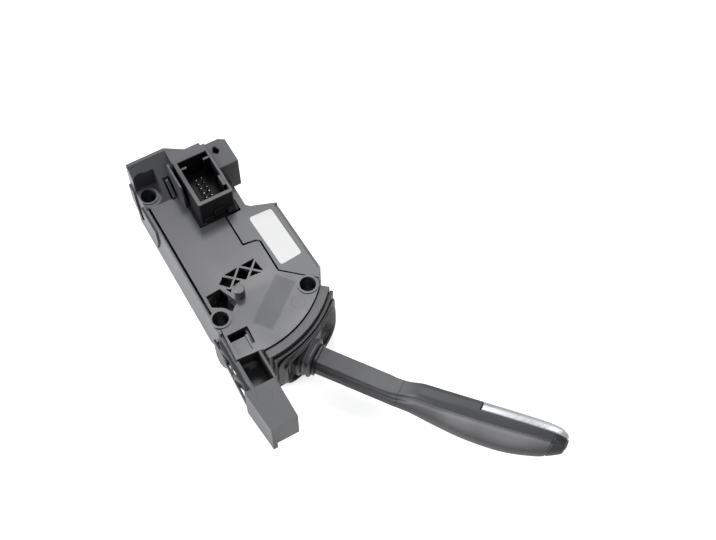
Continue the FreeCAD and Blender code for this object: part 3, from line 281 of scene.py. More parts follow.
def map_range(tree, value, low, high, start, end):
    """A Map Range node: low to high becomes start to end, and nothing beyond."""
    node = tree.nodes.new("ShaderNodeMapRange")
    for name, given in (
        ("Value", value), ("From Min", low), ("From Max", high), ("To Min", start), ("To Max", end)
    ):
        feed(tree, given, node.inputs[name])
    return node.outputs["Result"]


def mix_colors(tree, factor, first, second):
    """The colour between two, by a factor."""
    node = tree.nodes.new("ShaderNodeMix")
    node.data_type = "RGBA"
    factor_socket, first_socket, second_socket, color_result = 0, 6, 7, 2
    feed(tree, factor, node.inputs[factor_socket])
    feed(tree, first, node.inputs[first_socket])
    feed(tree, second, node.inputs[second_socket])
    return node.outputs[color_result]


def noise(tree, vector, scale, detail):
    """A noise on a vector, from 0 to 1."""
    node = tree.nodes.new("ShaderNodeTexNoise")
    tree.links.new(vector, node.inputs["Vector"])
    feed(tree, scale, node.inputs["Scale"])
    node.inputs["Detail"].default_value = detail
    return node.outputs["Fac"]


print("group helpers", [f.__name__ for f in (new_group, map_range, mix_colors, noise)])

# %% [markdown]
# In the group, the fine noise is the grain's height. The coarse one spreads the roughness and
# tells where dust gathers. The Z of the normal makes faces that look up lighter, which is dust and
# also painted top light, so the two are multiplied with the material's own amount of dust and
# painted top light.

# %% Moulded surface group
cloud_low, cloud_high, least_cloud = 0.35, 0.75, 0.5
steepest_dirty_and_lit_face, least_dirt_and_top_light = 0.3, 0.15
grain_detail, cloud_detail = 2.0, 5.0


def moulded_surface_group():
    """Grain, cloud, dust and painted top light: two noises and the normal make colour, roughness,
    height.
    """
    group, given, result = new_group(
        "moulded_surface",
        {"Color": (0.1, 0.1, 0.1, 1), "Dirt And Top Light Color": (0.3, 0.3, 0.3, 1), "Dirt And Top Light": 0.15,
         "Roughness": 0.45, "Roughness Spread": 0.12, "Grain Scale": 2600.0,
         "Cloud Scale": 38.0},
        {"Color": 4, "Roughness": 1, "Height": 1},
    )
    place = group.nodes.new("ShaderNodeTexCoord").outputs["Object"]
    grain = noise(group, place, given["Grain Scale"], grain_detail)
    cloud = noise(group, place, given["Cloud Scale"], cloud_detail)
    cloud_share = map_range(group, cloud, cloud_low, cloud_high, least_cloud, 1.0)
    parts = group.nodes.new("ShaderNodeSeparateXYZ")
    normal = group.nodes.new("ShaderNodeNewGeometry").outputs["Normal"]
    group.links.new(normal, parts.inputs["Vector"])
    # Painted top light: faces that look up get more of the lighter colour, as if lit from above,
    # on top of the dust.
    level = map_range(group, parts.outputs["Z"], steepest_dirty_and_lit_face, 1.0, least_dirt_and_top_light, 1.0)
    dirt_and_top_light_share = math_node(group, "MULTIPLY", cloud_share, level)
    amount = math_node(group, "MULTIPLY", dirt_and_top_light_share, given["Dirt And Top Light"])
    color = mix_colors(group, amount, given["Color"], given["Dirt And Top Light Color"])
    spread = math_node(group, "SUBTRACT", cloud, 0.5)
    rough = math_node(
        group, "MULTIPLY_ADD", spread, given["Roughness Spread"], given["Roughness"]
    )
    for name, value in (("Color", color), ("Roughness", rough), ("Height", grain)):
        group.links.new(value, result[name])
    return group


moulded_surface = moulded_surface_group()
print("group", moulded_surface.name)

# %% [markdown]
# Each plastic is then one material: the group feeds its colour and roughness, and a Bump node
# turns the grain's height into tiny shading changes. The bump's distance is a few hundredths of
# a millimetre, which is what a spark-eroded mould leaves. The specular level is the same all
# over, so it stays on the shader's own socket.

# %% Plastics
grain_depth = 0.00004
plastic_table = {
    # finish: material, colour, colour of dust and painted top light,
    #     amount of dust and painted top light, roughness, roughness spread, bump, grain scale,
    #     specular level
    "housing": ("housing_plastic", (0.034, 0.035, 0.039), (0.235, 0.238, 0.247),
                0.5, 0.40, 0.16, 0.5, 2600.0, 0.55),
    # Painted shade: a darker copy of the housing plastic, with less painted top light, for the
    # hood, the bracket and the truss.
    "block": ("shaded_housing_plastic", (0.026, 0.027, 0.030), (0.145, 0.147, 0.154),
              0.5, 0.42, 0.16, 0.5, 2600.0, 0.45),
    "cover": ("cover_plastic", (0.035, 0.036, 0.040), (0.135, 0.137, 0.143),
              0.5, 0.34, 0.30, 0.4, 2600.0, 0.5),
    "socket": ("socket_plastic", (0.008, 0.008, 0.009), (0.05, 0.05, 0.054),
               0.1, 0.40, 0.12, 0.4, 2600.0, 0.35),
    "shroud": ("shroud_plastic", (0.016, 0.016, 0.017), (0.28, 0.283, 0.29),
               0.7, 0.45, 0.12, 0.4, 2600.0, 0.14),
    "frame": ("frame_plastic", (0.034, 0.035, 0.039), (0.12, 0.122, 0.128),
              0.4, 0.4, 0.15, 0.4, 2600.0, 0.5),
    "grip": ("grip_plastic", (0.036, 0.037, 0.041), (0.10, 0.102, 0.108),
             0.4, 0.46, 0.1, 0.6, 1900.0, 0.4),
    "grip_body": ("grip_body_plastic", (0.016, 0.016, 0.018), (0.38, 0.38, 0.386),
                  0.9, 0.42, 0.1, 0.6, 1900.0, 0.28),
    "stem": ("stem_plastic", (0.012, 0.012, 0.014), (0.28, 0.282, 0.29),
             0.6, 0.46, 0.1, 0.6, 1900.0, 0.26),
    "end": ("end_plastic", (0.012, 0.012, 0.013), (0.05, 0.05, 0.052),
            0.3, 0.26, 0.08, 0.3, 2600.0, 0.4),
    "rubber": ("boot_rubber", (0.016, 0.0165, 0.018), (0.16, 0.162, 0.17),
               0.5, 0.40, 0.12, 0.5, 1200.0, 0.45),
    "natural": ("natural_nylon", (0.6, 0.58, 0.52), (0.4, 0.38, 0.34),
                0.2, 0.4, 0.1, 0.2, 2600.0, 0.5),
    "carrier": ("filled_nylon", (0.03, 0.03, 0.034), (0.08, 0.08, 0.085),
                0.2, 0.5, 0.15, 0.7, 1500.0, 0.5),
    "board": ("board_green", (0.012, 0.085, 0.035), (0.03, 0.12, 0.06),
              0.2, 0.35, 0.1, 0.1, 2600.0, 0.5),
    "chip": ("chip_resin", (0.012, 0.012, 0.013), (0.04, 0.04, 0.042),
             0.2, 0.5, 0.1, 0.4, 2600.0, 0.5),
    "paper": ("label_paper", (0.80, 0.80, 0.795), (0.72, 0.72, 0.715),
              0.3, 0.5, 0.08, 0.3, 900.0, 0.5),
}


def place_group(tree, group, values):
    """A node that uses a group in a material with its own values."""
    node = tree.nodes.new("ShaderNodeGroup")
    node.node_tree = group
    for name, value in values.items():
        node.inputs[name].default_value = value
    return node


def dress_shader(tree, shader, surface, bump, depth):
    """Feed a shader from a group's colour, roughness and height, the last through a Bump node."""
    relief = tree.nodes.new("ShaderNodeBump")
    relief.inputs["Strength"].default_value = bump
    relief.inputs["Distance"].default_value = depth
    tree.links.new(surface.outputs["Height"], relief.inputs["Height"])
    tree.links.new(surface.outputs["Color"], shader.inputs["Base Color"])
    tree.links.new(surface.outputs["Roughness"], shader.inputs["Roughness"])
    tree.links.new(relief.outputs["Normal"], shader.inputs["Normal"])


def moulded_values(finish):
    """What a plastic gives to the moulded surface group."""
    _, color, dirt_and_top_light_color, dirt_and_top_light, roughness, spread, _, grain, _ = plastic_table[finish]
    return {"Color": (*color, 1), "Dirt And Top Light Color": (*dirt_and_top_light_color, 1), "Dirt And Top Light": dirt_and_top_light,
            "Roughness": roughness, "Roughness Spread": spread, "Grain Scale": grain}


def plastic(finish):
    """A moulded plastic with its own amounts of grain, dust and gloss."""
    name, bump, specular = (plastic_table[finish][i] for i in (0, 6, 8))
    material, tree, shader = new_material(name)
    surface = place_group(tree, moulded_surface, moulded_values(finish))
    dress_shader(tree, shader, surface, bump, grain_depth)
    shader.inputs["Specular IOR Level"].default_value = specular
    return material


finishes = {finish: plastic(finish) for finish in plastic_table}
print("plastics", len(finishes))

# %% [markdown]
# ## Metals
# Metals need direction. The silver strip is brushed along the handle, so its marks are a noise
# that a Mapping node first turns to the lever's own line and then stretches along it. The steel,
# the pins and the magnet have the same kind of marks without a direction. One group serves
# all four, and its vector inputs set the turn and the stretch.

# %% Metals
lever_heading = math.radians(-54.5)
brushed_depth, brushed_bump, darkest_share, marks_detail = 0.00002, 0.2, 0.82, 3.0


def metal_marks_group():
    """One stretched noise that sets a metal's colour, roughness and height together."""
    group, given, result = new_group(
        "metal_marks",
        {"Color": (0.5, 0.5, 0.5, 1), "Dark Color": (0.4, 0.4, 0.4, 1), "Roughness": 0.35,
         "Roughness Spread": 0.1, "Scale": 900.0, "Turn": (0.0, 0.0, 0.0),
         "Stretch": (1.0, 1.0, 1.0)},
        {"Color": 4, "Roughness": 1, "Height": 1},
    )
    turned = group.nodes.new("ShaderNodeMapping")
    place = group.nodes.new("ShaderNodeTexCoord").outputs["Object"]
    for value, socket in (
        (place, "Vector"), (given["Turn"], "Rotation"), (given["Stretch"], "Scale")
    ):
        group.links.new(value, turned.inputs[socket])
    marks = noise(group, turned.outputs["Vector"], given["Scale"], marks_detail)
    smooth = math_node(group, "SUBTRACT", given["Roughness"], given["Roughness Spread"])
    rough = math_node(group, "ADD", given["Roughness"], given["Roughness Spread"])
    color = mix_colors(group, marks, given["Dark Color"], given["Color"])
    for name, value in (
        ("Color", color), ("Height", marks),
        ("Roughness", map_range(group, marks, 0.0, 1.0, smooth, rough)),
    ):
        group.links.new(value, result[name])
    return group


metal_marks = metal_marks_group()


def metal(name, color, roughness, spread, scale=900.0, turn=0.0, stretch=(1, 1, 1)):
    """A metal with its own colour, gloss and marks."""
    material, tree, shader = new_material(name)
    dark = tuple(c * darkest_share for c in color)
    surface = place_group(tree, metal_marks, {
        "Color": (*color, 1), "Dark Color": (*dark, 1), "Roughness": roughness,
        "Roughness Spread": spread, "Scale": scale, "Turn": (0, 0, turn), "Stretch": stretch,
    })
    dress_shader(tree, shader, surface, brushed_bump, brushed_depth)
    shader.inputs["Metallic"].default_value = 1.0
    return material


finishes["silver"] = metal(
    "brushed_silver", (0.42, 0.43, 0.445), 0.30, 0.08, 1400.0, -lever_heading, (0.04, 1, 1)
)
finishes["steel"] = metal("plain_steel", (0.5, 0.5, 0.51), 0.35, 0.1)
finishes["tin"] = metal("tinned_pin", (0.74, 0.71, 0.62), 0.3, 0.08)
finishes["magnet"] = metal("magnet_grey", (0.2, 0.2, 0.21), 0.5, 0.1)
print("finishes with metals", len(finishes))

# %% [markdown]
# ## Mould marks on the cover and the block
# An ejector leaves a thin ring in the plastic, and a field on the cover has a finer grain than
# the plate round it. Each could be cut into the mesh, but they are only a few hundredths deep,
# so they are masks in plan: a ring is where the distance from a point is near its radius, and
# the field is where both turned coordinates are within its half sides. A mask then mixes the
# colour that is already there towards nearly black.

# %% Masks in plan
# The nearly black colour serves the mould marks, and also the painted shade in the plug socket.
mark_and_shade_color = (0.008, 0.008, 0.009, 1)


def object_axes(tree, centre=None, angle=0.0):
    """X, Y, Z of Object coordinates, or of axes set in plan at a centre in millimetres."""
    place = tree.nodes.new("ShaderNodeTexCoord").outputs["Object"]
    if centre is not None:
        turned = tree.nodes.new("ShaderNodeMapping")
        turned.vector_type = "TEXTURE"
        turned.inputs["Location"].default_value = (centre[0] * MM, centre[1] * MM, 0)
        turned.inputs["Rotation"].default_value = (0, 0, angle)
        tree.links.new(place, turned.inputs["Vector"])
        place = turned.outputs["Vector"]
    parts = tree.nodes.new("ShaderNodeSeparateXYZ")
    tree.links.new(place, parts.inputs["Vector"])
    return parts.outputs


def zero_to_one(tree, value):
    """A value held between 0 and 1."""
    return math_node(tree, "MINIMUM", math_node(tree, "MAXIMUM", value, 0.0), 1.0)


def darken(material, mask, strength, roughness=0.0):
    """Let a mask darken a plastic's colour and roughen it."""
    tree = material.node_tree
    shader = tree.nodes["Principled BSDF"]
    before = shader.inputs["Base Color"].links[0].from_socket
    amount = math_node(tree, "MULTIPLY", mask, strength)
    color = mix_colors(tree, amount, before, mark_and_shade_color)
    tree.links.new(color, shader.inputs["Base Color"])
    if roughness:
        rough_before = shader.inputs["Roughness"].links[0].from_socket
        rougher = math_node(tree, "MULTIPLY_ADD", mask, roughness, rough_before)
        tree.links.new(rougher, shader.inputs["Roughness"])


print("masks darken towards", mark_and_shade_color[:3])

# %% [markdown]
# The field is a turned rectangle, so its mask is the product of two bands, one along each of its
# own axes. The plug socket gets a mask too: below a height it is painted dark, as painted shade
# for the inside of the socket, where its walls keep the light out. The plug socket gets a mask
# too: it stays dark below a height, because no dust
# falls and no hand wipes there.

# %% Field and painted shade in the socket
field_centre, field_degrees, field_half_sides = (10.7, -9.7), -51.0, (4.8, 12.3)
painted_shade_below, field_fade, painted_shade_fade = 13.4, 0.4, 0.25


def field(material, centre, degrees, half_sides, strength, roughness):
    """A turned rectangle in millimetres: each band is room to the side / fade, kept to 0..1."""
    tree = material.node_tree
    axes = object_axes(tree, centre, math.radians(degrees))
    inside = []
    for axis, half_side in zip(("X", "Y"), half_sides):
        away = math_node(tree, "ABSOLUTE", axes[axis])
        room = math_node(tree, "SUBTRACT", half_side * MM, away)
        inside.append(zero_to_one(tree, math_node(tree, "MULTIPLY", room, 1 / (field_fade * MM))))
    darken(material, math_node(tree, "MULTIPLY", *inside), strength, roughness)


def paint_shade_below_height(material, height, strength):
    """Paint shade on a plastic below a height in millimetres: room to the height / fade, in 0..1.
    """
    tree = material.node_tree
    room = math_node(tree, "SUBTRACT", height * MM, object_axes(tree)["Z"])
    share = math_node(tree, "MULTIPLY", room, 1 / (painted_shade_fade * MM))
    darken(material, zero_to_one(tree, share), strength)


field(finishes["cover"], field_centre, field_degrees, field_half_sides, 0.10, 0.05)
# Painted shade: the shroud turns nearly black below its rim, where the socket's inside lies in
# shade.
paint_shade_below_height(finishes["shroud"], painted_shade_below, 0.95)
print("field of", [2 * half for half in field_half_sides], "mm, dark below", painted_shade_below, "mm")

# %% [markdown]
# Two materials have rings, one on the cover and one on the bracket's block, so the ring is
# a group whose inputs are its centre, its radius and its width in millimetres.

# %% Rings
ring_table = [
    # finish, x, y, radius, width, strength
    ("cover", 19.4, -14.7, 2.9, 0.28, 0.6),
    ("block", -12.4, -45.3, 3.2, 0.3, 0.35),
]


def ring_mark_group():
    """A ring in plan: 1 where the distance from the centre is the radius, 0 a width away."""
    group, given, result = new_group(
        "ring_mark", {"X": 0.0, "Y": 0.0, "Radius": 3.0, "Width": 0.2}, {"Mask": 1}
    )
    axes = object_axes(group)
    sides = []
    for axis in ("X", "Y"):
        in_mm = math_node(group, "MULTIPLY", axes[axis], 1 / MM)
        away = math_node(group, "SUBTRACT", in_mm, given[axis])
        sides.append(math_node(group, "MULTIPLY", away, away))
    distance = math_node(group, "SQRT", math_node(group, "ADD", *sides))
    miss = math_node(group, "SUBTRACT", distance, given["Radius"])
    share = math_node(group, "DIVIDE", math_node(group, "ABSOLUTE", miss), given["Width"])
    mask = math_node(group, "MAXIMUM", math_node(group, "SUBTRACT", 1.0, share), 0.0)
    group.links.new(mask, result["Mask"])
    return group


ring_mark = ring_mark_group()


def ring(material, x, y, radius, width, strength):
    """One faint ring on a material, in millimetres."""
    values = {"X": x, "Y": y, "Radius": radius, "Width": width}
    node = place_group(material.node_tree, ring_mark, values)
    darken(material, node.outputs["Mask"], strength)


for finish, *numbers in ring_table:
    ring(finishes[finish], *numbers)
print("rings", len(ring_table))

# %% [markdown]
# ## The grips along the lever
# Stem and handle are different plastics, yet on the real lever one runs into the other, and the
# handle ends in a darker band. Both are masks along the lever, so one group does both: 1 beyond
# a line across the lever, which may lean with the height and fade over a length. At the
# elbow the grips start with the stem's colour, and near the end the band darkens them.

# %% Elbow and end band
ring_place = np.array([16.8, -37.0])
elbow, end_band_strength = 36.0, 0.75
grip_fade_lengths = {"grip": 9.0, "grip_body": 22.0}


def beyond_line_group():
    """1 where s - lean * z is past a line, in millimetres, rising from 0 over the fade length."""
    group, given, result = new_group(
        "beyond_line", {"Line": 101.2, "Lean": 0.13, "Fade Length": 0.2}, {"Mask": 1}
    )
    axes = object_axes(group, ring_place, lever_heading)
    rise = math_node(group, "MULTIPLY", axes["Z"], given["Lean"])
    leaned = math_node(group, "SUBTRACT", axes["X"], rise)
    in_mm = math_node(group, "MULTIPLY", leaned, 1 / MM)
    past = math_node(group, "SUBTRACT", in_mm, given["Line"])
    share = math_node(group, "DIVIDE", past, given["Fade Length"])
    group.links.new(zero_to_one(group, share), result["Mask"])
    return group


beyond_line = beyond_line_group()


def meet_the_stem(material, length):
    """Let a grip start at the elbow with the stem's colour and reach its own over a length."""
    tree = material.node_tree
    shader = tree.nodes["Principled BSDF"]
    stem_surface = place_group(tree, moulded_surface, moulded_values("stem"))
    fade = place_group(tree, beyond_line, {"Line": elbow, "Lean": 0.0, "Fade Length": length})
    own = shader.inputs["Base Color"].links[0].from_socket
    color = mix_colors(tree, fade.outputs["Mask"], stem_surface.outputs["Color"], own)
    tree.links.new(color, shader.inputs["Base Color"])


for finish, length in grip_fade_lengths.items():
    meet_the_stem(finishes[finish], length)
    band = place_group(finishes[finish].node_tree, beyond_line, {})
    darken(finishes[finish], band.outputs["Mask"], end_band_strength)
print("grips with an elbow and an end band", list(grip_fade_lengths))

# %% [markdown]
# ## Which node wears what
# Where a CAD node's shape is right, it keeps its own mesh and only gets a finish. One table says
# which, and the last line shows whether a node was forgotten.

# %% Dress the CAD nodes
worn = {
    "housing": ["main_housing"],
    "block": ["connector_hood", "end_bracket", "side_truss"],
    "cover": ["rear_cover"],
    "frame": ["front_frame"],
    "socket": ["lead_socket", "boot_retainer"],
    "shroud": ["connector_shroud"],
    "rubber": ["rubber_boot", "switch_lead"],
    "grip": ["handle_rear_shell", "handle_front_shell"],
    "stem": ["lever_stem"],
    "end": ["stem_collar", "park_button"],
    "silver": ["silver_strip"],
    "steel": ["board_screws", "screw_sleeves", "pivot_pin", "steel_core", "handle_screws",
              "detent_spring", "button_spring"],
    "tin": ["connector_pins"],
    "magnet": ["position_magnet"],
    "natural": ["detent_track", "pivot_bushes", "detent_plunger"],
    "carrier": ["lever_carrier"],
    "board": ["circuit_board"],
    "chip": ["hall_sensors", "board_components", "button_switch"],
    "paper": ["blank_label"],
}


def dress(piece, finish):
    """Give a piece one finish in its first material slot."""
    piece.data.materials.clear()
    piece.data.materials.append(finishes[finish])


for finish, names in worn.items():
    for name in names:
        dress(nodes[name], finish)
print("nodes with no finish", sorted(set(nodes) - {n for names in worn.values() for n in names}))

# %% [markdown]
# ## Soft edges on the moulded pieces
# Every moulded edge has a small radius that catches the light. CAD keeps most of these edges
# sharp so that its files stay light, and its meshes stay as they are. So we copy a node's mesh,
# merge its loose corners, melt its flat triangles into whole faces and let a Bevel modifier
# round each sharp edge. Weighted normals then keep the large faces flat beside the small ones.

# %% Soften the edges
same_point, flat_within = 0.000002, math.radians(1.0)
bevel_from, shade_sharp_from = math.radians(32), math.radians(34)
soft_edges = [
    # node, finish, material slot, width of the edge in millimetres
    ("main_housing", "housing", "housing_plastic", 0.25),
    ("rear_cover", "cover", "housing_plastic", 0.24),
    ("connector_hood", "block", "housing_plastic", 0.3),
    ("connector_shroud", "shroud", "connector_plastic", 0.2),
    ("front_frame", "frame", "housing_plastic", 0.25),
    ("end_bracket", "block", "housing_plastic", 0.25),
    ("side_truss", "block", "housing_plastic", 0.15),
]


def mended(mesh, merge=0.0, flatten=False, outward=False):
    """Merge points nearer than a distance, melt flat faces together, turn faces outwards."""
    shape = bmesh.new()
    shape.from_mesh(mesh)
    if merge:
        bmesh.ops.remove_doubles(shape, verts=shape.verts, dist=merge)
    if flatten:
        bmesh.ops.dissolve_limit(
            shape, angle_limit=flat_within, verts=shape.verts, edges=shape.edges,
            delimit={"NORMAL"},
        )
    if outward:
        bmesh.ops.recalc_face_normals(shape, faces=shape.faces)
    shape.to_mesh(mesh)
    shape.free()


def smooth_faces(mesh):
    """Shade every face smooth."""
    mesh.polygons.foreach_set("use_smooth", np.ones(len(mesh.polygons), dtype=bool))
    mesh.update()


def stands_for(piece, finish, body, node):
    """Give a piece its finish and body, and let it stand for a CAD node."""
    dress(piece, finish)
    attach(piece, body)
    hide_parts(node)
    print(piece.name, "points", len(piece.data.vertices), "faces", len(piece.data.polygons))


def softened(name, finish, material_slot, width):
    """A copy of a CAD node with merged faces and rounded edges, which stands for that node."""
    mesh = nodes[name].data.copy()
    mesh.name = name + "_soft"
    mended(mesh, same_point, flatten=True)
    piece = put_in_scene(name + "_soft", mesh)
    edge = piece.modifiers.new("soft_edges", "BEVEL")
    edge.width = width * MM
    edge.segments = 2
    edge.limit_method = "ANGLE"
    edge.angle_limit = bevel_from
    smooth_faces(mesh)
    mesh.set_sharp_from_angle(angle=shade_sharp_from)
    even = piece.modifiers.new("even_normals", "WEIGHTED_NORMAL")
    even.keep_sharp = True
    stands_for(piece, finish, "module", name)


for row in soft_edges:
    softened(*row)

# %% [markdown]
# ## The rubber boot
# A boot is a sleeve with a wide edge clamped along the curved frame and a narrow neck on the
# stem. Between them it bulges, sinks into a fold and swells again into rings. Cloth simulation
# would crumple such thick rubber, so we write the folds down as stations, which are soft
# rectangles across the sleeve, and let a smooth curve run through them in one direction while
# the rounded outline runs round in the other. First come the places they are measured from.

# %% Boot stations
front_middle = np.array([-2.6, 17.4])


def lever_spot(s, t=0.0):
    """Plan points at s along the lever and t across it: ring + s * along + t * across."""
    along = np.array([math.cos(lever_heading), math.sin(lever_heading)])
    across = np.array([-along[1], along[0]])
    s, t = np.asarray(s, dtype=float), np.asarray(t, dtype=float)
    return ring_place + s[..., None] * along + t[..., None] * across


def front_spot(radius, degrees):
    """Plan point at a radius and an angle about the centre of the curved front."""
    angle = math.radians(degrees)
    return front_middle + radius * np.array([math.cos(angle), math.sin(angle)])


def station(place, heading, half, low, high, power, bow=0.0, belly=0.0):
    """One row of the boot: plan centre, heading, half width, heights, boxiness, bow, belly."""
    return [*place, math.radians(heading), half, low, high, power, bow, belly]


boot_rows = np.array([
    station(front_spot(47.2, -64.9), -64.9, 18.2, -24.9, -6.2, 0.30, 0.0105),
    station(front_spot(48.8, -64.9), -64.9, 18.5, -25.2, -5.9, 0.30, 0.0102),
    station(front_spot(50.4, -64.9), -64.9, 19.4, -27.0, -4.4, 0.30, 0.0100),
    station(front_spot(51.0, -64.9), -64.9, 19.4, -27.1, -4.3, 0.32, 0.0098),
    station(front_spot(51.2, -65.2), -64.9, 18.0, -26.2, -5.3, 0.36, 0.0090),
    station(front_spot(52.0, -65.8), -64.5, 17.0, -25.9, -5.6, 0.40, 0.0085, 0.3),
    station(lever_spot(-8.8, 5.6), -62.0, 13.6, -25.0, -6.3, 0.50, 0.0060, 1.2),
    station(lever_spot(-7.7, 4.0), -60.0, 11.4, -24.0, -7.8, 0.56, 0.0040, 0.5),
    station(lever_spot(-6.8, 2.6), -57.0, 10.0, -23.2, -6.8, 0.62, 0.0, 0.8),
    station(lever_spot(-5.9, 1.4), -55.5, 8.0, -21.6, -7.4, 0.64),
    station(lever_spot(-5.1, 0.9), -54.5, 8.0, -21.7, -5.7, 0.60),
    station(lever_spot(-4.0, 0.6), -54.5, 7.2, -20.7, -6.5, 0.58),
    station(lever_spot(-3.3, 0.4), -54.5, 7.5, -21.0, -6.1, 0.58),
    station(lever_spot(-2.3, 0.4), -54.5, 7.2, -20.6, -6.4, 0.58),
    station(lever_spot(-1.8, 0.4), -54.5, 5.9, -19.1, -7.9, 0.55),
    station(lever_spot(-1.9, 0.4), -54.5, 5.1, -17.9, -9.1, 0.40),
])
print("boot stations", len(boot_rows))

# %% [markdown]
# The stations become one grid of points that closes round the sleeve, and Solidify gives the
# skin a rubber wall inwards.

# %% Boot surface
boot_columns, boot_steps, rubber_wall = 112, 6, 1.1


def smooth_rows(rows, steps):
    """A Catmull-Rom curve through the rows: each value runs smoothly from row to row."""
    padded = np.vstack([2 * rows[0] - rows[1], rows, 2 * rows[-1] - rows[-2]])
    t = np.linspace(0, 1, steps, endpoint=False)[:, None]
    pieces = []
    for a, b, c, d in zip(padded, padded[1:], padded[2:], padded[3:]):
        square = (2 * a - 5 * b + 4 * c - d) * t ** 2
        cube = (3 * b - a - 3 * c + d) * t ** 3
        pieces.append(0.5 * (2 * b + (c - a) * t + square + cube))
    return np.vstack(pieces + [rows[-1:]])


def soft_rectangle(theta, power):
    """Cosine and sine raised to a power with their sign kept: 1 is an ellipse, 0 a rectangle."""
    c, s = np.cos(theta), np.sin(theta)
    return np.sign(c) * np.abs(c) ** power, np.sign(s) * np.abs(s) ** power


def boot_points(columns, steps):
    """Soft rectangles across each heading, bowed back at the sides, bulged at mid height."""
    rows = smooth_rows(boot_rows, steps)
    theta = np.linspace(0, 2 * np.pi, columns, endpoint=False)[None, :]
    x, y, heading, half, low, high, power, bow, belly = (rows[:, i:i + 1] for i in range(9))
    c, s = soft_rectangle(theta, power)
    across = half * c
    height = (low + high) / 2 + (high - low) / 2 * s
    ahead = -bow * across ** 2 + belly * np.clip(1 - s ** 2, 0, 1)
    px = x + np.cos(heading) * ahead - np.sin(heading) * across
    py = y + np.sin(heading) * ahead + np.cos(heading) * across
    return np.stack([px, py, height], axis=-1)


def grid_piece(name, points, wrap):
    """A piece from a rows by columns grid in millimetres, closed round its columns if asked."""
    rows, columns = points.shape[:2]
    index = np.arange(rows * columns).reshape(rows, columns)
    right = np.roll(index, -1, axis=1)
    if not wrap:
        index, right = index[:, :-1], index[:, 1:]
    faces = np.stack([index[:-1], right[:-1], right[1:], index[1:]], axis=-1).reshape(-1, 4)
    mesh = bpy.data.meshes.new(name)
    mesh.from_pydata((points.reshape(-1, 3) * MM).tolist(), [], faces.tolist())
    smooth_faces(mesh)
    return put_in_scene(name, mesh)


def give_wall(piece, thickness):
    """A wall of a thickness in millimetres, inwards from the surface."""
    wall = piece.modifiers.new("wall", "SOLIDIFY")
    wall.thickness = thickness * MM
    wall.offset = -1.0


boot = grid_piece("boot_sleeve", boot_points(boot_columns, boot_steps), True)
mended(boot.data, outward=True)
give_wall(boot, rubber_wall)
dress(boot, "rubber")
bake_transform(boot)
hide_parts("rubber_boot")
print("boot points", len(boot.data.vertices))

# %% [markdown]
# ## The handle's outside
# The real handle is two soft-touch shells and a silver strip that share one flowing outside.
# Three separate shapes would never meet, so we describe the whole outside once. A few
# stations along the lever give its upper edge, face edge, lower edge, top and bottom, and a
# cubic curve runs through every value. A section is five corners with soft arcs.

# %% Handle stations
handle_table = np.array([
    # s, upper edge, face edge, lower edge, top, bottom, softness of the corners
    [-12.5, 5.2, -2.6, -4.4, -9.5, -17.5, 0.28],
    [10.0, 5.2, -2.6, -4.4, -9.5, -17.5, 0.28],
    [29.0, 5.2, -2.6, -4.4, -9.5, -17.5, 0.28],
    [34.0, 5.1, -1.9, -4.4, -9.4, -17.7, 0.36],
    [38.5, 5.5, -0.8, -4.4, -8.3, -18.2, 0.60],
    [44.0, 6.6, -0.3, -4.4, -6.5, -19.2, 0.90],
    [52.0, 7.4, -0.1, -4.8, -6.0, -20.3, 1.0],
    [66.0, 8.8, 1.8, -5.2, -6.0, -21.0, 1.0],
    [82.0, 10.6, 4.0, -3.9, -6.3, -21.0, 1.0],
    [95.0, 11.9, 6.2, -0.5, -7.0, -20.0, 1.0],
    [101.5, 12.0, 7.2, 2.4, -8.0, -18.6, 1.0],
    [105.4, 10.6, 7.4, 4.6, -9.8, -17.0, 1.0],
])
stem_begin, strip_begin, handle_end = -12.5, 69.0, 104.4
corner_share = np.array([0.38, 0.38, 0.30, 0.16, 0.40])
shoulder_drop, longest_arc_share, arc_points = 0.42, 0.45, 9


def smooth_values(table, s):
    """Cubic Hermite curves through a table over s; a slope is the chord over two neighbours."""
    n = len(table)
    before = table[np.maximum(np.arange(n) - 1, 0)]
    after = table[np.minimum(np.arange(n) + 1, n - 1)]
    slopes = (after - before) / (after[:, :1] - before[:, :1])
    i = np.clip(np.searchsorted(table[:, 0], s, side="right") - 1, 0, n - 2)
    span = (table[i + 1, 0] - table[i, 0])[:, None]
    u = (s[:, None] - table[i, :1]) / span
    a, b, slope_a, slope_b = table[i], table[i + 1], slopes[i] * span, slopes[i + 1] * span
    return ((2 * u**3 - 3 * u**2 + 1) * a + (u**3 - 2 * u**2 + u) * slope_a
            + (3 * u**2 - 2 * u**3) * b + (u**3 - u**2) * slope_b)


def handle_outlines(values):
    """Closed (t, z) sections: a corner C is a Bezier arc, (1-u)^2 A + 2u(1-u) C + u^2 B."""
    _, up, face, low, top, bottom, soft = values.T
    shoulder = top - shoulder_drop * (top - bottom)
    places = ((low, bottom), (up, bottom), (up, top), (face, top), (low, shoulder))
    corners = np.stack([np.stack(place, -1) for place in places], axis=1)
    girth = np.minimum(up - low, top - bottom)
    into, out = np.roll(corners, 1, axis=1) - corners, np.roll(corners, -1, axis=1) - corners
    near = np.linalg.norm(into, axis=-1, keepdims=True)
    far = np.linalg.norm(out, axis=-1, keepdims=True)
    wanted = corner_share[None, :, None] * (girth * soft)[:, None, None]
    back = np.minimum(wanted, longest_arc_share * np.minimum(near, far))
    first, last = corners + into / near * back, corners + out / far * back
    u = np.linspace(0, 1, arc_points)[None, None, :, None]
    arcs = (first[:, :, None] * (1 - u) ** 2 + corners[:, :, None] * 2 * u * (1 - u)
            + last[:, :, None] * u ** 2)
    loops = arcs.reshape(len(values), -1, 2)
    return np.concatenate([loops, loops[:, :1]], axis=1)


print("handle stations", len(handle_table))

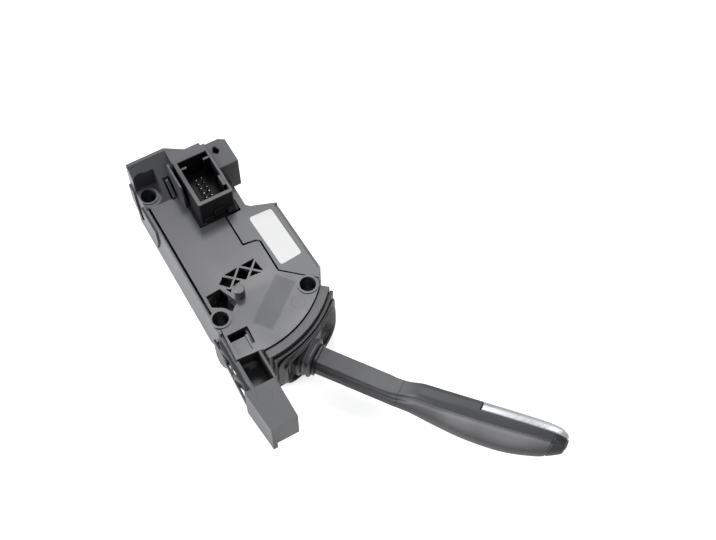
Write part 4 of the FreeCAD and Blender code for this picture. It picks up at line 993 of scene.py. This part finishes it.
# %% [markdown]
# ## Where the seams run
# A skin is the strip of each section between two marks. A mark is a share of the way round:
# where the parting height is passed on the upper or the lower side, where the silver strip's
# edge lies on the face, and where the strip ends below the upper edge. Cutting a finished mesh
# would leave ragged seams, but rows that are sampled between their own marks give clean ones.

# %% Marks on a section
strip_low_z, strip_face_start, strip_face_end, strip_face_run = -11.6, 4.2, 7.9, 30.0
stem_parting_depth, handle_parting_more, parting_from, parting_run = 0.8, 0.8, 30.0, 16.0
search_from, face_margin = 0.2, 0.3
LOW_EDGE, UPPER, FACE_EDGE, LOWER = range(4)


def share_round(loop):
    """How far round a closed section each point lies, from 0 to 1."""
    lengths = np.r_[0, np.cumsum(np.linalg.norm(np.diff(loop, axis=0), axis=1))]
    return lengths / lengths[-1]


def mark(loop, value, axis, after, rising):
    """The share at which a coordinate first passes a value, searched from a share onwards."""
    share = share_round(loop)
    v = loop[:, axis] - value
    crossing = (v[:-1] < 0) & (v[1:] >= 0) if rising else (v[:-1] > 0) & (v[1:] <= 0)
    i = int(np.argmax(crossing & (share[1:] > after)))
    return share[i] + (share[i + 1] - share[i]) * v[i] / (v[i] - v[i + 1])


def parting_depth(s):
    """Depth of the parting line under the face: an S-curve 3u^2 - 2u^3 from stem to handle."""
    u = min(max((s - parting_from) / parting_run, 0.0), 1.0)
    return stem_parting_depth + handle_parting_more * u * u * (3 - 2 * u)


def handle_marks(values, loop):
    """Shares of the strip's low edge, upper parting, strip's face edge and lower parting."""
    s, _, face, _, top, _, _ = values
    shifted = (strip_face_end - strip_face_start) * (s - strip_begin) / strip_face_run
    edge_t = max(strip_face_start + shifted, face + face_margin)
    parting_z = top - parting_depth(s)
    low_edge = mark(loop, strip_low_z, 1, search_from, True)
    upper = mark(loop, parting_z, 1, search_from, True)
    face_edge = mark(loop, edge_t, 0, upper, False)
    lower = mark(loop, parting_z, 1, face_edge, False)
    return low_edge, upper, face_edge, lower


# Sections lie half a millimetre apart, and closer from 98 mm on, where the end groove runs.
row_s = np.r_[
    np.linspace(elbow, 68.86, 70), np.linspace(69.2, 98.0, 60),
    np.linspace(98.15, 101.0, 20), np.linspace(101.4, handle_end, 14),
]
row_values = smooth_values(handle_table, row_s)
loops = handle_outlines(row_values)
marks = np.array([handle_marks(v, l) for v, l in zip(row_values, loops)])
strip_row = int(np.searchsorted(row_s, strip_begin))
print("sections", len(row_s), "of which before the strip", strip_row)

# %% [markdown]
# ## Skins between the marks
# A skin takes each section between its own two marks and spreads the same number of points over
# it, which makes a grid of (s, t, z). Two helpers come with it: one measures how far each point
# lies from the long edges, the other moves points along the surface's own normal.

# %% Cut a skin
def skin(values, sections, start, end, columns):
    """Every section sampled evenly between its own two shares, as rows of (s, t, z)."""
    rows = []
    for value, loop, a, b in zip(values, sections, start, end):
        share = share_round(loop)
        wanted = np.linspace(a, b, columns) % 1.0
        t, z = np.interp(wanted, share, loop[:, 0]), np.interp(wanted, share, loop[:, 1])
        rows.append(np.stack([np.full(columns, value[0]), t, z], -1))
    return np.stack(rows)


def pushed(points, depth):
    """Move points along the outward normal, the cross product of the surface's tangents."""
    du, dv = np.gradient(points, axis=0), np.gradient(points, axis=1)
    normal = np.cross(dv, du)
    normal /= np.maximum(np.linalg.norm(normal, axis=-1, keepdims=True), 1e-9)
    return points + normal * depth[..., None]


def edge_distance(points):
    """Distance in millimetres from the first and from the last column, along each row."""
    step = np.linalg.norm(np.diff(points, axis=1), axis=-1)
    run = np.concatenate([np.zeros((len(points), 1)), np.cumsum(step, axis=1)], axis=1)
    return run, run[:, -1:] - run


print("girth of the first section", round(float(np.linalg.norm(
    np.diff(loops[0], axis=0), axis=1).sum()), 2), "mm")

# %% [markdown]
# ## Grooves
# A groove in a moulded shell is a soft dip and not a cut. So it is a small move inwards, as
# deep as a bell curve of the distance from the seam says. The grooves along the handle run
# out before its end, and one runs round the end itself, where the dark band begins.

# %% Grooves
groove_stops, groove_fade = 0.5, 3.0
end_groove_depth, end_groove_width = 0.3, 0.28
groove_lean, groove_line, groove_line_z = 0.13, 100.0, -9.0


def groove(distance, depth, width, place=0.0):
    """A bell-shaped depth: depth * exp(-((distance - place) / width)^2)."""
    return depth * np.exp(-((distance - place) / width) ** 2)


def closing(points):
    """One along the handle and zero round its end, so that grooves run out before the nose."""
    reached = np.maximum.accumulate(points[:, :1, 0], axis=0)
    return np.clip((handle_end - groove_stops - reached) / groove_fade, 0, 1)


def rolled(points, first, last, width):
    """Roll the two long edges inwards by their own depths."""
    a, b = edge_distance(points)
    depth = groove(a, first, width) + groove(b, last, width)
    return pushed(points, -depth * closing(points))


def end_groove(points):
    """A fine groove round the end, where s passes a line that leans with the height."""
    line = groove_line + groove_lean * (points[..., 2] - groove_line_z)
    return pushed(points, -groove(points[..., 0] - line, end_groove_depth, end_groove_width))


print("grooves run out over", groove_fade, "mm")

# %% [markdown]
# ## The rounded end
# At the end every skin runs on over a rounded nose to the opening where the button sits. Each
# point moves towards the section's middle while it rises by a quarter of a sine, so the nose
# leaves the handle steeply and comes in flat, and a last row goes back in as the guide's wall.

# %% The rounded end
opening_share, nose_rise, nose_rows, guide_depth = 0.66, 0.75, 7, 3.0


def end_outline(count=96):
    """The handle's last section as evenly spaced points, and their middle."""
    loop = handle_outlines(smooth_values(handle_table, np.array([handle_end])))[0]
    even = np.linspace(0, 1, count, endpoint=False)
    points = np.stack([np.interp(even, share_round(loop), loop[:, i]) for i in (0, 1)], -1)
    return points, points.mean(axis=0)


def at_s(s, section):
    """A row of (s, t, z) from a section's (t, z)."""
    return np.concatenate([np.full((len(section), 1), s), section], axis=1)


def nose(last_row):
    """Rows that close the end: each point moves inwards as the rise follows a quarter sine."""
    outer, middle = last_row[:, 1:], end_outline()[1]
    inner = middle + opening_share * (outer - middle)
    rows = []
    for share in np.linspace(0, 1, nose_rows)[1:]:
        rise = nose_rise * math.sin(share * math.pi / 2)
        rows.append(at_s(handle_end + rise, outer * (1 - share) + inner * share))
    return np.stack(rows + [at_s(handle_end - guide_depth, inner)])


def patch(start, end, rows, columns, with_nose=False):
    """One grid of a skin between two marks, in s, t, z."""
    last_marks = marks[rows, end] + (end < start)
    points = skin(row_values[rows], loops[rows], marks[rows, start], last_marks, columns)
    return np.concatenate([points, nose(points[-1])]) if with_nose else points


print("opening of the end", opening_share, "of its section")

# %% [markdown]
# ## Grids made pieces
# The grids of one shell share an edge, so they become one mesh whose doubles are merged, and
# Solidify gives it the shell's wall inwards.

# %% Join the grids
join_within = 0.00004


def on_lever(points):
    """Turn (s, t, z) into the module's frame, in millimetres."""
    return np.concatenate([lever_spot(points[..., 0], points[..., 1]), points[..., 2:]], -1)


def joined_piece(name, grids, wall):
    """Grids of points made one piece, with shared edges merged and a wall given inwards."""
    vertices, faces, base = [], [], 0
    for points in grids:
        rows, columns = points.shape[:2]
        index = base + np.arange(rows * columns).reshape(rows, columns)
        corners = (index[:-1, 1:], index[1:, 1:], index[1:, :-1], index[:-1, :-1])
        faces.append(np.stack(corners, -1).reshape(-1, 4))
        vertices.append(on_lever(points).reshape(-1, 3))
        base += rows * columns
    mesh = bpy.data.meshes.new(name)
    mesh.from_pydata((np.vstack(vertices) * MM).tolist(), [], np.vstack(faces).tolist())
    mended(mesh, join_within)
    smooth_faces(mesh)
    piece = put_in_scene(name, mesh)
    give_wall(piece, wall)
    return piece


print("edges nearer than", join_within / MM, "mm are joined")

# %% [markdown]
# ## The shells and the strip
# The rear shell is the face: its lower part runs the whole length, its upper part stops where
# the strip begins. The front shell is the body. Along the lower parting line the body is drawn
# in by most of a millimetre and swells out again, which is the dark line along the whole
# handle. Near the elbow that wide dip hands over to the two thin lines of the stem.

# %% Build the shells and the strip
everywhere, before_strip, along_strip = slice(None), slice(0, strip_row), slice(strip_row, None)
shell_wall, strip_wall, elbow_run = 0.8, 0.5, 8.0
face_columns, upper_columns, body_columns, rise_columns, strip_columns = 26, 30, 84, 14, 40
# Each line is a depth, a width and, where it isn't on the edge itself, a distance from it.
body_depth, body_shape = 1.15, (0.95, 0.4)
stem_line, flank_line, strip_line = (0.6, 0.45), (0.45, 0.4, 2.1), (0.3, 0.3)
# Each roll is the depth at the first edge, the depth at the last edge, and a width.
face_roll, upper_roll = (0.0, 0.4, 0.45), (0.22, 0.0, 0.35)
rise_roll, strip_roll = (0.0, 0.22, 0.35), (0.12, 0.12, 0.25)

face_part = rolled(patch(FACE_EDGE, LOWER, everywhere, face_columns, True), *face_roll)
upper_part = rolled(patch(UPPER, FACE_EDGE, before_strip, upper_columns), *upper_roll)
rear_skin = joined_piece("handle_rear_skin", [end_groove(face_part), upper_part], shell_wall)

body_part = patch(LOWER, LOW_EDGE, everywhere, body_columns, True)
from_parting, from_strip = edge_distance(body_part)
begun = np.clip((body_part[:, :1, 0] - elbow) / elbow_run, 0, 1)
dip = groove(from_parting, begun * body_depth, *body_shape)
dip = dip + (1 - begun) * groove(from_parting, *stem_line)
dip += (1 - begun) * groove(from_parting, *flank_line) + groove(from_strip, *strip_line)
body_part = end_groove(pushed(body_part, -dip * closing(body_part)))
rise_part = rolled(patch(LOW_EDGE, UPPER, before_strip, rise_columns), *rise_roll)
front_skin = joined_piece("handle_front_skin", [body_part, rise_part], shell_wall)

strip_part = patch(LOW_EDGE, FACE_EDGE, along_strip, strip_columns, True)
strip_part = rolled(strip_part, *strip_roll)
strip_skin = joined_piece("silver_strip_skin", [strip_part], strip_wall)

stands_for(rear_skin, "grip", "lever", "handle_rear_shell")
stands_for(front_skin, "grip_body", "lever", "handle_front_shell")
stands_for(strip_skin, "silver", "lever", "silver_strip")

# %% [markdown]
# ## The stem
# The stem is the same outside carried on towards the boot, where its section stays the same: a
# flat top, a slanted flank and soft corners. It is sampled from the same table, so it meets the
# handle at the elbow. The parting line of the handle runs on along it as a thin groove, and a
# second groove lies where the flank turns down.

# %% Stem
stem_wall, stem_columns, upper_line = 1.0, 280, (0.6, 0.30)
stem_s = np.r_[np.linspace(stem_begin, 28.0, 28), np.linspace(28.6, elbow, 18)]
stem_values = smooth_values(handle_table, stem_s)
stem_loops = handle_outlines(stem_values)
parting = np.array([handle_marks(v, l)[LOWER] for v, l in zip(stem_values, stem_loops)])
stem_points = skin(stem_values, stem_loops, parting, parting + 1.0, stem_columns)
below, above = edge_distance(stem_points)
dip = groove(below, *stem_line) + groove(above, *upper_line)
dip += groove(below, *flank_line)
stem_skin = joined_piece("lever_stem_skin", [pushed(stem_points, -dip)], stem_wall)
print("stem rows", len(stem_s))

# %% [markdown]
# ## The handle screws
# Two screws hold the shells from below. A screw is a profile turned about its axis, with
# the head's rounded rim and the shank that runs up into the shell. Both share one profile and
# differ in their place along the handle and in the height of their seat.

# %% Handle screws
screw_places = [(46.0, -19.7), (58.0, -20.85)]
head_radius, shank_radius, shank_top, head_height = 1.9, 1.0, -11.7, 1.4
face_radius, rim_radius, rim_rise, rim_height = 1.3, 1.75, 0.15, 0.5
close_within, sharp_from = 0.00001, math.radians(50)


def outward_piece(name, points, wrap):
    """A surface from a grid of s, t, z: seams and poles merged, faces turned outwards."""
    piece = grid_piece(name, on_lever(points), wrap)
    mended(piece.data, close_within, outward=True)
    piece.data.set_sharp_from_angle(angle=sharp_from)
    return piece


def screw_points(s, seat, columns=28):
    """A profile of radius and height turned about the vertical at s on the lever."""
    profile = [
        (0.0, seat), (face_radius, seat), (rim_radius, seat + rim_rise),
        (head_radius, seat + rim_height), (head_radius, seat + head_height),
        (shank_radius, seat + head_height), (shank_radius, shank_top), (0.0, shank_top),
    ]
    angle = np.linspace(0, 2 * np.pi, columns, endpoint=False)
    return np.stack([
        np.stack([s + r * np.cos(angle), r * np.sin(angle), np.full(columns, z)], -1)
        for r, z in profile
    ])


for i, (s, seat) in enumerate(screw_places):
    screw = outward_piece("handle_screw_%d" % i, screw_points(s, seat), True)
    stands_for(screw, "steel", "lever", "handle_screws")

# %% [markdown]
# ## The ring on the stem and the button
# The ring holds the boot's neck. It is one small step profile, carried round the stem's own
# section. The button fills the opening in the handle's end: the end section drawn in, straight
# in its guide and domed outside, so that it follows the handle's shape as the real one does.

# %% Ring and button
ring_s, ring_half_width, ring_lip = -1.0, 0.4, 1.1
button_share, button_inner, button_middle, button_rim, button_tip = 0.615, 93.5, 100, 104.5, 105.7
dome_height, dome_rows, dome_power, dome_start, dome_stops_short = 1.2, 8, 0.6, 0.2, 0.02


def collar_points(columns=96):
    """The stem's section pushed out by the lip over the ring's width, open towards the stem."""
    loop = handle_outlines(smooth_values(handle_table, np.array([ring_s])))[0]
    share = np.linspace(0, 1, columns)
    t, z = (np.interp(share, share_round(loop), loop[:, i]) for i in (0, 1))
    turn = np.stack([np.gradient(t), np.gradient(z)], -1)
    # The section is closed, so its first and its last point share one direction.
    turn[0] = turn[-1] = turn[1] + turn[-2]
    outward = np.stack([turn[:, 1], -turn[:, 0]], -1) / np.linalg.norm(turn, axis=1)[:, None]
    back, front = ring_s - ring_half_width, ring_s + ring_half_width
    rows = []
    for s, out in ((back, 0.0), (back, ring_lip), (front, ring_lip), (front, 0.0)):
        rows.append(at_s(s, np.stack([t, z], -1) + outward * out))
    return np.stack(rows)


def button_points():
    """Rows of the end section drawn in: in the dome the share is cos(p)^power, the rise sin(p)."""
    profile = [
        (button_inner, 0.0), (button_inner, 1.0), (button_middle, 1.0), (button_rim, 1.0)
    ]
    for p in np.linspace(dome_start, math.pi / 2 - dome_stops_short, dome_rows):
        profile.append((button_rim + dome_height * math.sin(p), math.cos(p) ** dome_power))
    profile.append((button_tip, 0.0))
    points, middle = end_outline()
    return np.stack([
        at_s(s, middle + button_share * share * (points - middle)) for s, share in profile
    ])


collar = outward_piece("stem_collar_ring", collar_points(), False)
button = outward_piece("park_button_cap", button_points(), True)
stands_for(stem_skin, "stem", "lever", "lever_stem")
stands_for(collar, "socket", "lever", "stem_collar")
stands_for(button, "end", "button", "park_button")

# %% [markdown]
# ## Check the size
# Nothing that we added may stick out of the CAD box.

# %% Check the size
visual_box = box_numbers()
for side, label in enumerate(("low", "high")):
    moved = [round((visual_box[side][i] - cad_box[side][i]) / MM, 3) for i in range(3)]
    print(label, "corner moved by", moved, "mm")
